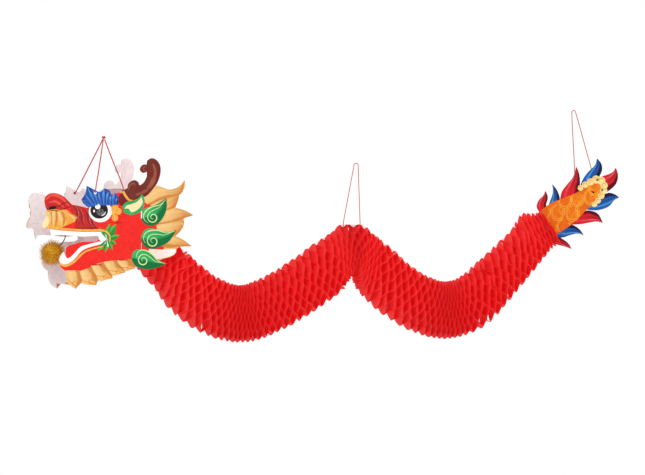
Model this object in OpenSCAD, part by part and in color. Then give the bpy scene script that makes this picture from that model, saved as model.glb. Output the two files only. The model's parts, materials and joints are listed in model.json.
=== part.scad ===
// Hanging dragon garland: a die-cut card head and tail joined by two swags of honeycomb tissue,
// hung on red strings. Millimetres, +Z up, head towards -X, origin at the top of the middle string.

/* [Swags] */
// Length of the front swag, from the ridge to the neck, along X
front_span = 558; // [440:1:680]
// How far the front swag hangs below the ridge
front_drop = 142; // [115:1:170]
// Length of the rear swag, from the ridge to the tail, along X
rear_span = 485; // [400:1:600]
// How far the rear swag hangs below the ridge
rear_drop = 142; // [115:1:170]
// Distance from the top of the middle string down to the ridge of the tissue
ridge_fall = 155; // [120:1:200]

/* [Honeycomb tissue] */
// Radius of the tissue discs where the body is fullest
tissue_r = 72; // [58:0.5:87]
// Radius of the tissue discs at the neck board
neck_r = 50; // [38:1:60]
// Radius of the tissue discs at the tail board
tail_r = 48; // [36:1:58]
// Thickness of one glued wall of the honeycomb
wall_t = 0.5; // [0.4:0.1:1.2]
// Gap between two tissue blocks, where the body bends
bend_gap = 10; // [9:0.5:12]

/* [Card] */
// Thickness of the printed card
card_t = 1; // [0.6:0.1:1.5]
// Clearance round a tab in its slot
tab_fit = 0.3; // [0.2:0.05:0.6]
// How far a tab stands out of its slot
tab_out = 1.2; // [0.6:0.1:2]

/* [Head] */
// Half of the width between the head panels at the neck board
head_half = 78; // [66:1:95]
// How much each head panel turns in towards the snout, in degrees
head_toe = 6.4; // [4:0.1:8]
// How far the head is turned out of the line of the body, in degrees
head_yaw = 24; // [18:1:26]
// Sideways place of the neck board
neck_side = 22; // [18:1:26]
// Height of the neck board
neck_board_h = 132; // [110:1:150]
// Radius of the punched string holes in the brows
brow_hole_r = 3.5; // [3:0.1:4.5]

/* [Pearl] */
// Radius of the pearl's packed tinsel core
pearl_r = 26; // [20:0.5:31]
// Radius of the pearl's wire stem
stem_r = 1.3; // [1:0.1:1.6]
// Radius of the hole that the stem passes through
stem_hole_r = 4; // [3.5:0.1:5]

/* [Strings] */
// Diameter of the middle and tail strings
string_d = 2; // [1.6:0.1:2.4]
// Diameter of the three bridle cords of the head
bridle_d = 3; // [2.4:0.1:3.4]
// Radius of the end knots of the strings
knot_r = 4; // [3.4:0.1:4.6]
// Radius of the holes for the middle string in the ridge strip
ridge_hole_r = 3; // [2.5:0.1:3.3]

/* [Hidden] */
$fn = 48;

// ---- the line of the body -------------------------------------------------------------
// The ridge is where the two swags meet. Each swag's stations are shares of its span and
// drop, counted from the ridge outwards; the body bends at the stations.
ridge = [-10, -ridge_fall - tissue_r + 1.5];
front_way = [[0.10, 0.23], [0.215, 0.55], [0.35, 0.86], [0.495, 1.03], [0.635, 0.91],
  [0.745, 0.61], [0.845, 0.20], [1, -0.236]];
rear_way = [[0.11, 0.285], [0.225, 0.63], [0.35, 0.89], [0.48, 1.0], [0.61, 0.865],
  [0.725, 0.51], [0.85, 0.055], [1, -0.419]];
front_at = [for (w = front_way) ridge + [-front_span * w[0], -front_drop * w[1]]];
rear_at = [for (w = rear_way) ridge + [rear_span * w[0], -rear_drop * w[1]]];
// Shares of the full tissue radius at each station, easing down to the boards
front_share = [0.97, 0.97, 0.98, 1, 1, 0.95, 0.80];
rear_share = [0.97, 0.98, 1, 1, 0.97, 0.87, 0.79];
front_r = [for (s = front_share) max(s * tissue_r, neck_r), neck_r];
rear_r = [for (s = rear_share) max(s * tissue_r, tail_r), tail_r];
last = len(front_way) - 1;
neck_lean = 0;
tail_lean = 30;
neck_bend = head_yaw / 2;
neck_inset = 12;
board_inset = 17;
tail_inset = 14;
cells = 8;
block_sheets = 4;

function heading(a, b) = atan2(b[1] - a[1], b[0] - a[0]);
// Heading of the body at a station, always taken from head to tail
function front_heading(k) =
  k == last ? neck_lean : heading(front_at[k + 1], k == 0 ? ridge : front_at[k - 1]);
function rear_heading(k) =
  k == last ? tail_lean : heading(k == 0 ? ridge : rear_at[k - 1], rear_at[k + 1]);

function along(a) = [cos(a), sin(a)];
function across(a) = [-sin(a), cos(a)];
function mix(a, b, t) = a * (1 - t) + b * t;
// Point of a smooth curve from p to q that leaves at heading a and arrives at heading b
function bridge(p, q, a, b, pull, t) =
  let (m = norm(q - p) * pull)
  (2 * t ^ 3 - 3 * t ^ 2 + 1) * p + (t ^ 3 - 2 * t ^ 2 + t) * m * along(a)
  + (3 * t ^ 2 - 2 * t ^ 3) * q + (t ^ 3 - t ^ 2) * m * along(b);

// A wall of the honeycomb between two glue lines, seen from the side
module wall(a, b) {
  d = (b - a) / norm(b - a);
  n = [-d[1], d[0]] * wall_t / 2;
  e = d * wall_t / 2;
  polygon([a - e + n, a - e - n, b + e - n, b + e + n]);
}

// One block of honeycomb. Sheets zigzag between glue lines that run along Y, and each band of
// cells is as wide as the round outline of the tissue discs is there.
module tissue_block(p, q, a, b, rp, rq, start, finish, pull = 1, low = 1, sheets = block_sheets) {
  p1 = p + start * along(a);
  q1 = q - finish * along(b);
  function place(i, j) =
    let (t = i / sheets, r = mix(rp, rq, t), s = mix(-low, 1, j / cells) * r)
    bridge(p1, q1, a, b, pull, t) + s * across(mix(a, b, t));
  for (j = [0 : cells - 1]) {
    share = mix(-low, 1, (j + 0.5) / cells);
    half = min(rp, rq) * sqrt(1 - share ^ 2);
    rotate([90, 0, 0])
      translate([0, 0, -half])
        linear_extrude(2 * half)
          for (i = [0 : sheets - 1])
            wall(place(i + (i + j) % 2, j), place(i + (i + j + 1) % 2, j + 1));
  }
}

module front_block(k) {
  p = front_at[k];
  q = front_at[k - 1];
  color("crimson")
    tissue_block(p, q, front_heading(k), front_heading(k - 1), front_r[k], front_r[k - 1],
      bend_gap / 2, bend_gap / 2);
}

// The last front block also turns sideways towards the head
module neck_block() {
  p = front_at[last];
  q = front_at[last - 1];
  reach = (q[0] - p[0]) / cos(neck_bend);
  color("crimson")
    translate([q[0], 0, 0])
      rotate([0, 0, neck_bend])
        tissue_block([-reach, p[1]], [0, q[1]], front_heading(last), front_heading(last - 1),
          front_r[last], front_r[last - 1], board_inset, neck_inset, sheets = block_sheets + 1);
}

module rear_block(k) {
  color("crimson")
    tissue_block(rear_at[k - 1], rear_at[k], rear_heading(k - 1), rear_heading(k),
      rear_r[k - 1], rear_r[k], bend_gap / 2, k == last ? tail_inset : bend_gap / 2);
}

// ---- outlines -------------------------------------------------------------------------
function knot(p, i) = p[min(max(i, 0), len(p) - 1)];
function spline_point(a, b, c, d, t) =
  0.5 * (2 * b + (c - a) * t + (2 * a - 5 * b + 4 * c - d) * t ^ 2
  + (3 * b - a - 3 * c + d) * t ^ 3);
// Smooth run through points, without its last point so that runs can be chained
function run(p, n = 4) =
  [for (i = [0 : len(p) - 2], k = [0 : n - 1])
    spline_point(knot(p, i - 1), p[i], p[i + 1], knot(p, i + 2), k / n)];
// Closed outline from smooth runs that meet in corners
function outline(runs) = [for (r = runs) each run(r)];
// Points in anticlockwise order, so that plates drawn in pieces join into one
function turn_sum(p) =
  [for (i = [0 : len(p) - 1]) let (q = p[(i + 1) % len(p)]) p[i][0] * q[1] - q[0] * p[i][1]]
  * [for (i = p) 1];
function anticlockwise(p) = turn_sum(p) > 0 ? p : [for (i = [len(p) - 1 : -1 : 0]) p[i]];
module plate(p) polygon(anticlockwise(p));
// Leaf from base a to a tip and back to base b, with a place on each side
function leaf(a, side_a, tip, side_b, b) = outline([[a, side_a, tip], [tip, side_b, b]]);

// ---- head -----------------------------------------------------------------------------
// Head outlines are drawn about the neck board's centre, snout towards -X
neck = [front_at[last][0], -neck_side, front_at[last][1]];

face_outline = outline([
  [[-214, -48], [-211, -66], [-191, -80], [-160, -84], [-129, -68], [-105, -56], [-54, -54],
   [-26, -47]],
  [[-26, -47], [20, -50], [50, -40], [60, -10], [55, 40], [30, 80], [-10, 110], [-60, 118]],
  [[-60, 118], [-107, 104], [-138, 80]],
  [[-138, 80], [-168, 82], [-185, 92], [-203, 108], [-227, 117], [-246, 111], [-252, 98],
   [-248, 82], [-245, 68], [-248, 48], [-239, 30]],
  [[-239, 30], [-232, 2]],
  [[-232, 2], [-224, 12], [-188, 11], [-149, 8], [-115, 10], [-109, 2]],
  [[-109, 2], [-123, -4], [-151, -5], [-173, -10], [-193, -17], [-197, -30], [-196, -42]],
  [[-196, -42], [-202, -29]],
  [[-202, -29], [-211, -38], [-214, -48]]
]);
brow_outline = outline([
  [[-133, 78], [-150, 90], [-156, 101]], [[-156, 101], [-146, 116], [-142, 135]],
  [[-142, 135], [-128, 128], [-112, 120]], [[-112, 120], [-104, 121], [-96, 129]],
  [[-96, 129], [-82, 122], [-78, 112]], [[-78, 112], [-72, 112], [-69, 118]],
  [[-69, 118], [-61, 108], [-60, 88]], [[-60, 88], [-107, 80], [-133, 78]]
]);
horn_outline = outline([
  [[-33, 98], [-42, 112], [-48, 122], [-36, 129]],
  [[-36, 129], [-33, 141], [-20, 149], [-9, 145], [-5, 136]],
  [[-5, 136], [6, 143], [14, 158], [14, 170]],
  [[14, 170], [4, 167], [-4, 176], [3, 187], [14, 188]],
  [[14, 188], [16, 198], [28, 204], [41, 198], [49, 185], [50, 168], [44, 147], [34, 132],
   [10, 108], [-33, 98]]
]);
ear_outline = outline([
  [[-50, 83], [-38, 95], [-14, 100], [2, 114]], [[2, 114], [8, 100], [5, 80], [-6, 68],
   [-26, 62], [-44, 68], [-50, 83]]
]);
mane_outline = outline([
  [[20, 120], [37, 136], [71, 126], [88, 128], [101, 135], [113, 149]],
  [[113, 149], [115, 136], [109, 123], [99, 112]],
  [[99, 112], [96, 98], [87, 77]], [[87, 77], [110, 75], [136, 62]],
  [[136, 62], [122, 57], [112, 56], [111, 40], [105, 26], [90, 10]],
  [[90, 10], [112, -1], [132, -16]], [[132, -16], [108, -15], [91, -22]],
  [[91, -22], [84, -38], [60, -46], [20, -50], [0, 40], [20, 120]]
]);
leaf_outlines = [
  outline([[[65, 105], [53, 96], [36, 87], [15, 81], [1, 72], [-2, 58], [6, 42], [24, 35],
    [44, 42], [58, 58], [66, 80], [65, 105]]]),
  outline([[[91, 25], [78, 20], [60, 20], [33, 28], [10, 26], [-2, 5], [8, -16], [30, -23],
    [54, -14], [74, -2], [91, 25]]]),
  outline([[[67, -59], [45, -51], [32, -41], [11, -27], [-8, -23], [-22, -31], [-26, -46],
    [-14, -66], [10, -73], [36, -71], [67, -59]]])
];
beard_outline = outline([
  [[-195, -76], [-195, -96], [-188, -110], [-171, -122]], [[-171, -122], [-173, -108]],
  [[-173, -108], [-158, -111], [-142, -105]], [[-142, -105], [-132, -111], [-116, -113]],
  [[-116, -113], [-122, -104]], [[-122, -104], [-108, -105], [-92, -100]],
  [[-92, -100], [-86, -98], [-73, -95]], [[-73, -95], [-80, -87]],
  [[-80, -87], [-62, -89], [-40, -80]], [[-40, -80], [-50, -73]],
  [[-50, -73], [-33, -77], [-16, -70]], [[-16, -70], [-20, -50], [-100, -50], [-195, -76]]
]);
whisker_outline = outline([
  [[-195, 75], [-242, 75], [-246, 60], [-256, 36], [-252, 29], [-238, 31]],
  [[-238, 31], [-216, 28], [-200, 34], [-172, 46]], [[-172, 46], [-180, 62], [-195, 75]]
]);
brow_hole = [-120, 117];

// Half width between the inner faces of the head panels at a place along the head
function half_at(x) = head_half + x * tan(head_toe);
module in_head() translate(neck) rotate([0, 0, head_yaw]) children();
module near_side()
  translate([0, -head_half, 0]) rotate([0, 0, -head_toe]) rotate([90, 0, 0]) children();

// Boards between the panels: [first x, last x, height, first tab x, last tab x]
snout_at = [-182, -117, 28, -149, -117];
cheek_at = [-70, -38, 43, -65, -44];
jaw_front_at = [-132, -98, -62, -125, -104];
jaw_rear_at = [-64, -30, -50, -57, -37];
crown_at = [-28, 20, 128, -12, 12];
// Tabs of the neck board: [low z, high z]
neck_tabs = [[-25, -7], [53, 72]];
neck_board_low = -52;
stem_at = [-172, snout_at[2]];
crown_hole_x = -15;

module slot(s) {
  w = s[4] - s[3] + 2 * tab_fit;
  translate([(s[3] + s[4]) / 2 / cos(head_toe), s[2]])
    square([w / cos(head_toe), card_t + 2 * tab_fit], center = true);
}

module head_panel() {
  linear_extrude(card_t)
    difference() {
      union() {
        for (o = [face_outline, brow_outline, horn_outline, ear_outline, mane_outline,
            beard_outline, whisker_outline])
          plate(o);
        for (o = leaf_outlines)
          plate(o);
      }
      for (s = [snout_at, cheek_at, jaw_front_at, jaw_rear_at, crown_at])
        slot(s);
      for (t = neck_tabs)
        translate([0, (t[0] + t[1]) / 2])
          square([card_t + 2 * tab_fit + 0.4, t[1] - t[0] + 2 * tab_fit], center = true);
      translate(brow_hole)
        circle(r = brow_hole_r);
    }
}
module near_head_panel() color("orangered") in_head() near_side() head_panel();
module far_head_panel() color("gainsboro") in_head() mirror([0, 1, 0]) near_side() head_panel();

// Flat board whose ends lie on the panels' inner faces, with a tab at each end
module shelf(s) {
  edge = [for (x = [s[0], s[1]]) [x, half_at(x)]];
  reach = (card_t + tab_out) / cos(head_toe);
  translate([0, 0, s[2] - card_t / 2])
    linear_extrude(card_t)
      union() {
        plate([edge[0], edge[1], [edge[1][0], -edge[1][1]], [edge[0][0], -edge[0][1]]]);
        for (m = [-1, 1])
          plate([[s[3], m * (half_at(s[3]) - 1)], [s[4], m * (half_at(s[4]) - 1)],
            [s[4], m * (half_at(s[4]) + reach)], [s[3], m * (half_at(s[3]) + reach)]]);
      }
}
module snout_shelf() color("lightgray")
  in_head()
    difference() {
      shelf(snout_at);
      translate([stem_at[0], 0, stem_at[1]])
        cylinder(r = stem_hole_r, h = 4 * card_t, center = true);
    }
module cheek_shelf() color("lightgray") in_head() shelf(cheek_at);
module jaw_shelf_front() color("lightgray") in_head() shelf(jaw_front_at);
module jaw_shelf_rear() color("lightgray") in_head() shelf(jaw_rear_at);
module crown_shelf() color("lightgray")
  in_head()
    difference() {
      shelf(crown_at);
      translate([crown_hole_x, 0, crown_at[2]])
        cylinder(r = brow_hole_r, h = 4 * card_t, center = true);
    }

// Upright board that carries the first tissue disc, tabbed into both panels
module neck_board() {
  h = card_t / 2;
  tab = half_at(0) + (card_t + tab_out) / cos(head_toe);
  color("lightgray")
    in_head()
      union() {
        translate([0, 0, neck_board_low])
          linear_extrude(neck_board_h)
            plate([[-h, half_at(-h)], [h, half_at(h)], [h, -half_at(h)], [-h, -half_at(-h)]]);
        for (t = neck_tabs)
          translate([-h, -tab, t[0]])
            cube([card_t, 2 * tab, t[1] - t[0]]);
      }
}

// ---- pearl ----------------------------------------------------------------------------
// The pearl hangs on a wire that passes through the snout shelf and ends in a twist above it
pearl_at = [-208, -33];
stem_points = [[-172, 32], [-172, 18], [-173, 6], [-179, -6], [-190, -17], [-200, -26]];
twist_r = 3;
module pearl_ball() color("goldenrod")
  in_head() translate([pearl_at[0], 0, pearl_at[1]]) sphere(r = pearl_r);
module pearl_stem() {
  route = [for (p = stem_points) [p[0], 0, p[1]]];
  color("saddlebrown")
    in_head()
      union() {
        sweep(smooth_route(route, 3), 2 * stem_r);
        translate([stem_at[0], 0, stem_at[1] + 4])
          sphere(r = twist_r, $fn = 24);
      }
}

// ---- strings --------------------------------------------------------------------------
bridle_apex = [-630, -60, 64];
near_route = [[-652, -125, -78], [-651, -130, -75], [-650, -134, -71], [-649, -134, -64],
  [-647, -126, -50], [-643, -112, -26], [-639, -96, 2], [-635, -80, 30], [-631, -62, 61]];
far_route = [[-706, -7, -78], [-703, -12, -75], [-700, -16, -71], [-696, -19, -64],
  [-688, -24, -49], [-675, -32, -24], [-660, -41, 5], [-645, -50, 34], [-632, -58, 60]];
rear_route = [[-582, -28, -69], [-582, -28, -64], [-583, -29, -58], [-588, -33, -44],
  [-597, -39, -21], [-607, -45, 4], [-618, -52, 32], [-628, -58, 59]];
middle_route = [[-32, 0, -161], [-32, 0, -150], [-27, 0, -122], [-21, 0, -90], [-15, 0, -58],
  [-9, 0, -26], [-6, 0, -10], [-5, 0, -5], [-3, 0, -1.5], [0, 0, 0], [3, 0, -1.5],
  [5, 0, -5], [5.5, 0, -14], [6.5, 0, -50], [8, 0, -90], [9, 0, -122], [10, 0, -150],
  [10, 0, -161]];
tail_route = [[547, 3.2, -41], [547, 0, -37], [547, -3.5, -32], [546, -3.5, -18],
  [544, -3, 30], [541, -1.5, 80], [539.5, 0, 120], [539.5, 0, 127], [541, 0, 130.5],
  [544, 0, 132], [547, 0, 130.5], [549, 0, 126], [553, 0.5, 112], [564, 1.5, 73],
  [577, 2.5, 26], [588, 3, -14], [592, 3.2, -28]];
apex_r = 5.5;
end_knot_r = 2.8;

// Points of a smooth line through a route, n to each stretch
function smooth_route(p, n) = concat(run(p, n), [p[len(p) - 1]]);
function unit(v) = v / norm(v);
function heading_at(p, i) = unit(knot(p, i + 1) - knot(p, i - 1));
// Round tube swept along points; the route is never parallel to Y
module sweep(p, d, sides = 8) {
  rings = [for (i = [0 : len(p) - 1])
    let (t = heading_at(p, i), u = unit(cross(t, [0, 1, 0])), v = cross(t, u))
    for (k = [0 : sides - 1]) p[i] + d / 2 * (cos(360 * k / sides) * u + sin(360 * k / sides) * v)];
  n = len(p) - 1;
  polyhedron(rings, concat(
    [[for (k = [0 : sides - 1]) k]],
    [for (i = [0 : n - 1], k = [0 : sides - 1])
      let (a = i * sides + k, b = i * sides + (k + 1) % sides) [a, a + sides, b + sides, b]],
    [[for (k = [sides - 1 : -1 : 0]) n * sides + k]]));
}

module bridle_near() color("firebrick") sweep(smooth_route(near_route, 3), bridle_d);
module bridle_far() color("firebrick") sweep(smooth_route(far_route, 3), bridle_d);
module bridle_rear() color("firebrick") sweep(smooth_route(rear_route, 3), bridle_d);
module bridle_end_knots() color("firebrick")
  for (r = [near_route, far_route, rear_route])
    translate(r[0]) sphere(r = knot_r, $fn = 24);
module bridle_apex_knot() color("darkred")
  translate(bridle_apex) sphere(r = apex_r, $fn = 32);

module middle_string() color("red") sweep(smooth_route(middle_route, 3), string_d);
middle_holes = [middle_route[0][0], middle_route[len(middle_route) - 1][0]];
strip_z = -ridge_fall;
knot_drop = card_t / 2 + knot_r + 0.5;
module middle_string_knots() color("firebrick")
  for (x = middle_holes)
    translate([x, 0, strip_z - knot_drop]) sphere(r = knot_r, $fn = 32);

// Card strip on the ridge of the tissue; the middle string passes through its two holes
strip_end = 9;
strip_w = 18;
module ridge_strip() color("crimson")
  difference() {
    translate([middle_holes[0] - strip_end, -strip_w / 2, strip_z - card_t / 2])
      cube([middle_holes[1] - middle_holes[0] + 2 * strip_end, strip_w, card_t]);
    for (x = middle_holes)
      translate([x, 0, strip_z]) cylinder(r = ridge_hole_r, h = 4 * card_t, center = true);
  }

// The middle block fans round the ridge, with room for the knots under the strip
pocket_r = knot_r + 2.5;
module tissue_middle() color("crimson")
  difference() {
    tissue_block(front_at[0], rear_at[0], front_heading(0), rear_heading(0), front_r[0],
      rear_r[0], bend_gap / 2, bend_gap / 2, pull = 1.9, low = 0.7, sheets = 6);
    for (x = middle_holes)
      translate([x, 0, strip_z - knot_drop - pocket_r])
        cylinder(r = pocket_r, h = 3 * pocket_r);
    translate([ridge[0] - 100, -100, strip_z - card_t / 2])
      cube([200, 200, 100]);
  }

// ---- tail -----------------------------------------------------------------------------
tail_root = rear_at[last];
module at_tail() translate([tail_root[0], 0, tail_root[1]]) children();
// Flames: [base, side, tip, side, base] about the tail's root
flames = [
  [[-20, 36], [-26, 61], [-2, 97], [4, 81], [8, 54]],
  [[0, 52], [10, 88], [14, 113], [32, 93], [36, 66]],
  [[34, 66], [44, 106], [75, 159], [82, 125], [82, 84]],
  [[78, 82], [90, 118], [128, 179], [141, 155], [118, 96]],
  [[110, 98], [150, 137], [173, 155], [179, 130], [122, 78]],
  [[118, 84], [168, 93], [184, 81], [148, 56], [96, 54]],
  [[92, 54], [128, 44], [142, 15], [112, 10], [60, 18]],
  [[60, 20], [81, 4], [95, -15], [60, -20], [20, -14]],
  [[20, -6], [49, -28], [64, -49], [42, -44], [22, -40]]
];
scale_outline = outline([
  [[-19, 42], [9, 64], [34, 75], [69, 89], [93, 101], [116, 112]],
  [[116, 112], [126, 108], [131, 98], [130, 84], [123, 68]],
  [[123, 68], [106, 54], [83, 30], [59, 9], [34, -8], [23, -18]], [[23, -18], [6, 12], [-19, 42]]
]);
// Scallops round the tip: [x, z, radius]
scallops = [[86, 104, 7], [98, 112, 8], [111, 119, 9], [125, 125, 10], [138, 122, 10],
  [145, 110, 9], [144, 97, 9], [138, 84, 8], [130, 72, 7], [121, 63, 7]];
trim_inner = outline([[[88, 92], [108, 104], [120, 98], [122, 84], [112, 66]],
  [[112, 66], [96, 74], [88, 92]]]);
root_low = -40;
root_high = 44;
root_len = 30;
tail_string_hole = [tail_route[1][0] - tail_root[0], tail_route[1][2] - tail_root[1]];

// Keeps what lies beyond the outer face of the tail end board
module beyond_board() {
  intersection() {
    children();
    rotate(tail_lean) translate([card_t, -300]) square(600);
  }
}
module card_layer(y) rotate([90, 0, 0]) translate([0, 0, -y - card_t / 2]) linear_extrude(card_t) children();

module tail_end_board() color("crimson")
  at_tail() rotate([0, 90 - tail_lean, 0]) cylinder(r = tail_r, h = card_t);
module tail_flame_board() color("royalblue")
  at_tail()
    card_layer(0)
      difference() {
        beyond_board()
          union() {
            for (f = flames)
              plate(leaf(f[0], f[1], f[2], f[3], f[4]));
            plate(scale_outline);
            rotate(tail_lean) translate([0, root_low]) square([root_len, root_high - root_low]);
          }
        translate(tail_string_hole) circle(r = string_d + 0.6);
      }
module near_scale_board() color("darkorange")
  at_tail() card_layer(-card_t) beyond_board() plate(scale_outline);
module far_scale_board() color("darkorange")
  at_tail() card_layer(card_t) beyond_board() plate(scale_outline);
module tip_trim() {
  difference() {
    union()
      for (s = scallops) translate([s[0], s[1]]) circle(r = s[2]);
    plate(trim_inner);
  }
}
module near_tip_trim() color("khaki") at_tail() card_layer(-2 * card_t) tip_trim();
module far_tip_trim() color("khaki") at_tail() card_layer(2 * card_t) tip_trim();
module tail_string() color("red") sweep(smooth_route(tail_route, 3), string_d);
module tail_string_knots() color("firebrick")
  for (p = [tail_route[0], tail_route[len(tail_route) - 1]])
    translate(p) sphere(r = end_knot_r, $fn = 24);

near_head_panel();
far_head_panel();
neck_board();
snout_shelf();
cheek_shelf();
jaw_shelf_front();
jaw_shelf_rear();
crown_shelf();
pearl_ball();
pearl_stem();
bridle_near();
bridle_far();
bridle_rear();
bridle_end_knots();
bridle_apex_knot();
front_block(1);  // tissue_front_1
front_block(2);  // tissue_front_2
front_block(3);  // tissue_front_3
front_block(4);  // tissue_front_4
front_block(5);  // tissue_front_5
front_block(6);  // tissue_front_6
neck_block();  // tissue_front_7
tissue_middle();
rear_block(1);  // tissue_rear_1
rear_block(2);  // tissue_rear_2
rear_block(3);  // tissue_rear_3
rear_block(4);  // tissue_rear_4
rear_block(5);  // tissue_rear_5
rear_block(6);  // tissue_rear_6
rear_block(7);  // tissue_rear_7
ridge_strip();
middle_string();
middle_string_knots();
tail_end_board();
tail_flame_board();
near_scale_board();
far_scale_board();
near_tip_trim();
far_tip_trim();
tail_string();
tail_string_knots();
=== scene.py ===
import json
import math
import random

import bmesh
import bpy
from mathutils import Matrix, Vector
from mathutils.geometry import delaunay_2d_cdt


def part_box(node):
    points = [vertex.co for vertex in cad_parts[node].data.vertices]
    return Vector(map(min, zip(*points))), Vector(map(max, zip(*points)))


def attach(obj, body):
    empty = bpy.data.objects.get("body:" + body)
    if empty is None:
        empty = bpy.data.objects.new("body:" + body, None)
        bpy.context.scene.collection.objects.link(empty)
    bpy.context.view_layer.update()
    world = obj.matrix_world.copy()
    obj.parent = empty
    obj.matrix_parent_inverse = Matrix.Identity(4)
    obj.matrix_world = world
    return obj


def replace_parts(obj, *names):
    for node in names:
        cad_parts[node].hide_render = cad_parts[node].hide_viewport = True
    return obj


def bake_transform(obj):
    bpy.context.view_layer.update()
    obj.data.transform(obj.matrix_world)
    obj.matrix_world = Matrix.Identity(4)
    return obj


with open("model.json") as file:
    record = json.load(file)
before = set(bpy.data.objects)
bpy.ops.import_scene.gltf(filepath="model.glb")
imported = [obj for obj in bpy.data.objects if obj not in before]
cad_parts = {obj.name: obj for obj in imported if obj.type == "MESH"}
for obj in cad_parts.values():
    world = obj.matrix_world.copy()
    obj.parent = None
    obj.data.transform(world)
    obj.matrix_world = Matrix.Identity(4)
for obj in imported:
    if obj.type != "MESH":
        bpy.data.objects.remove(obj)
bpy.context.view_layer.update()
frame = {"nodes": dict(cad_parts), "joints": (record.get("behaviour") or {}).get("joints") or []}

MM = 0.001
JOINT_AT = {j["name"]: Vector(j["pos_m"]) for j in frame["joints"]}
JOINT_AXIS = {j["name"]: Vector(j["axis"]) for j in frame["joints"]}


# ---- camera, lights and stage -----------------------------------------------------------
VIEW_CENTRE = Vector((-0.084, 0, -0.186))
VIEW_WIDTH = 1.6125
VIEW_DISTANCE = 40.0
SENSOR = 36.0
CLIP_END = 400
FLOOR_Z = -1.15
FLOOR_HALF = 12.0
LIT_AT = (-0.05, 0, -0.25)


def make_camera():
    camera = bpy.data.objects.new("camera", bpy.data.cameras.new("camera"))
    bpy.context.scene.collection.objects.link(camera)
    camera.data.sensor_width = SENSOR
    camera.data.clip_end = CLIP_END
    camera.data.lens = SENSOR * VIEW_DISTANCE / VIEW_WIDTH
    camera.location = VIEW_CENTRE - Vector((0, VIEW_DISTANCE, 0))
    camera.rotation_euler = (math.radians(90), 0, 0)
    bpy.context.scene.camera = camera


def area_light(name, place, aim, size, power):
    light = bpy.data.objects.new(name, bpy.data.lights.new(name, "AREA"))
    bpy.context.scene.collection.objects.link(light)
    light.data.size = size
    light.data.energy = power
    light.location = place
    light.rotation_mode = "QUATERNION"
    light.rotation_quaternion = (Vector(aim) - Vector(place)).to_track_quat("-Z", "Y")


def make_world(seen, ambient):
    """A white surround: full white where it is seen, softer where it lights."""
    world = bpy.data.worlds.new("studio")
    bpy.context.scene.world = world
    world.use_nodes = True
    nodes, links = world.node_tree.nodes, world.node_tree.links
    background = nodes["Background"]
    background.inputs["Color"].default_value = (1, 1, 1, 1)
    path = nodes.new("ShaderNodeLightPath")
    strength = nodes.new("ShaderNodeMapRange")
    strength.inputs["To Min"].default_value = ambient
    strength.inputs["To Max"].default_value = seen
    links.new(path.outputs["Is Camera Ray"], strength.inputs["Value"])
    links.new(strength.outputs["Result"], background.inputs["Strength"])


def make_stage():
    make_camera()
    make_world(seen=1.0, ambient=0.55)
    area_light("key", (-1.6, -3.2, 2.2), LIT_AT, 2.0, 70)
    area_light("fill", (2.2, -3.0, 0.6), LIT_AT, 2.4, 34)
    area_light("back", (0.4, 2.6, 1.4), LIT_AT, 2.0, 45)
    bpy.context.scene.view_settings.view_transform = "Standard"


# ---- colours ----------------------------------------------------------------------------
def linear(red, green, blue):
    """A display colour, each channel from 0 to 255, as scene-linear RGBA."""
    def one(c):
        c /= 255
        return c / 12.92 if c <= 0.04045 else ((c + 0.055) / 1.055) ** 2.4
    return (one(red), one(green), one(blue), 1.0)


WHITE = linear(250, 248, 248)
TISSUE_RED = linear(216, 22, 27)
# The deep tissue tone also serves as painted shade, and the light tissue tone as painted light
# showing through the paper
TISSUE_DEEP_AND_SHADE = linear(186, 8, 15)
TISSUE_LIT = linear(240, 66, 60)
FACE_RED = linear(241, 42, 36)
FACE_RED_DEEP = linear(222, 30, 28)
NOSE_RED = linear(205, 40, 42)
NOSE_LIGHT = linear(236, 82, 66)
MAROON = linear(120, 24, 30)
FOLD_PINK = linear(192, 96, 96)
GOLD = linear(240, 182, 76)
GOLD_PALE = linear(250, 220, 150)
ORANGE = linear(222, 128, 58)
MANE_LIGHT = linear(238, 194, 124)
MANE_TIP = linear(206, 132, 62)
CREAM = linear(250, 228, 176)
HORN_BROWN = linear(112, 48, 36)
HORN_LIGHT = linear(158, 86, 64)
BROW_BLUE = linear(44, 92, 184)
BROW_DARK = linear(40, 56, 112)
BROW_SKY = linear(96, 168, 236)
LEAF_DARK = linear(8, 112, 58)
LEAF_LIGHT = linear(56, 176, 100)
LEAF_LINE = linear(206, 240, 164)
FRINGE = linear(84, 170, 44)
FRINGE_DEEP = linear(38, 140, 56)
PALE_PINK = linear(250, 224, 208)
CARD_BACK = linear(246, 234, 234)
BLACK = linear(22, 16, 18)
IRIS_GREY = linear(120, 118, 122)
SCALE_ORANGE = linear(226, 108, 22)
SCALE_DEEP = linear(206, 84, 20)
SCALE_YELLOW = linear(246, 172, 48)
FLAME_RED = linear(214, 28, 36)
FLAME_RED_DARK = linear(84, 10, 24)
FLAME_PINK = linear(240, 96, 104)
FLAME_BLUE = linear(20, 90, 168)
FLAME_BLUE_DARK = linear(32, 16, 62)
TINSEL = linear(250, 190, 20)
CORD_RED = linear(214, 30, 36)
FLAME_LIGHT = linear(232, 120, 136)
CARD_BACK_DEEP = linear(214, 202, 205)
TINSEL_SHADE = linear(176, 116, 12)
WIRE_BRONZE = linear(104, 72, 22)
WIRE_SHADE = linear(58, 40, 14)
FLOOR_PALE = linear(244, 243, 242)


# ---- shader groups ----------------------------------------------------------------------
def new_group(name, inputs, outputs):
    """A shader node group. inputs and outputs are (name, socket type, default)."""
    group = bpy.data.node_groups.new(name, "ShaderNodeTree")
    for label, kind, value in inputs:
        socket = group.interface.new_socket(label, in_out="INPUT", socket_type=kind)
        if value is not None:
            socket.default_value = value
    for label, kind in outputs:
        group.interface.new_socket(label, in_out="OUTPUT", socket_type=kind)
    return group


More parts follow.
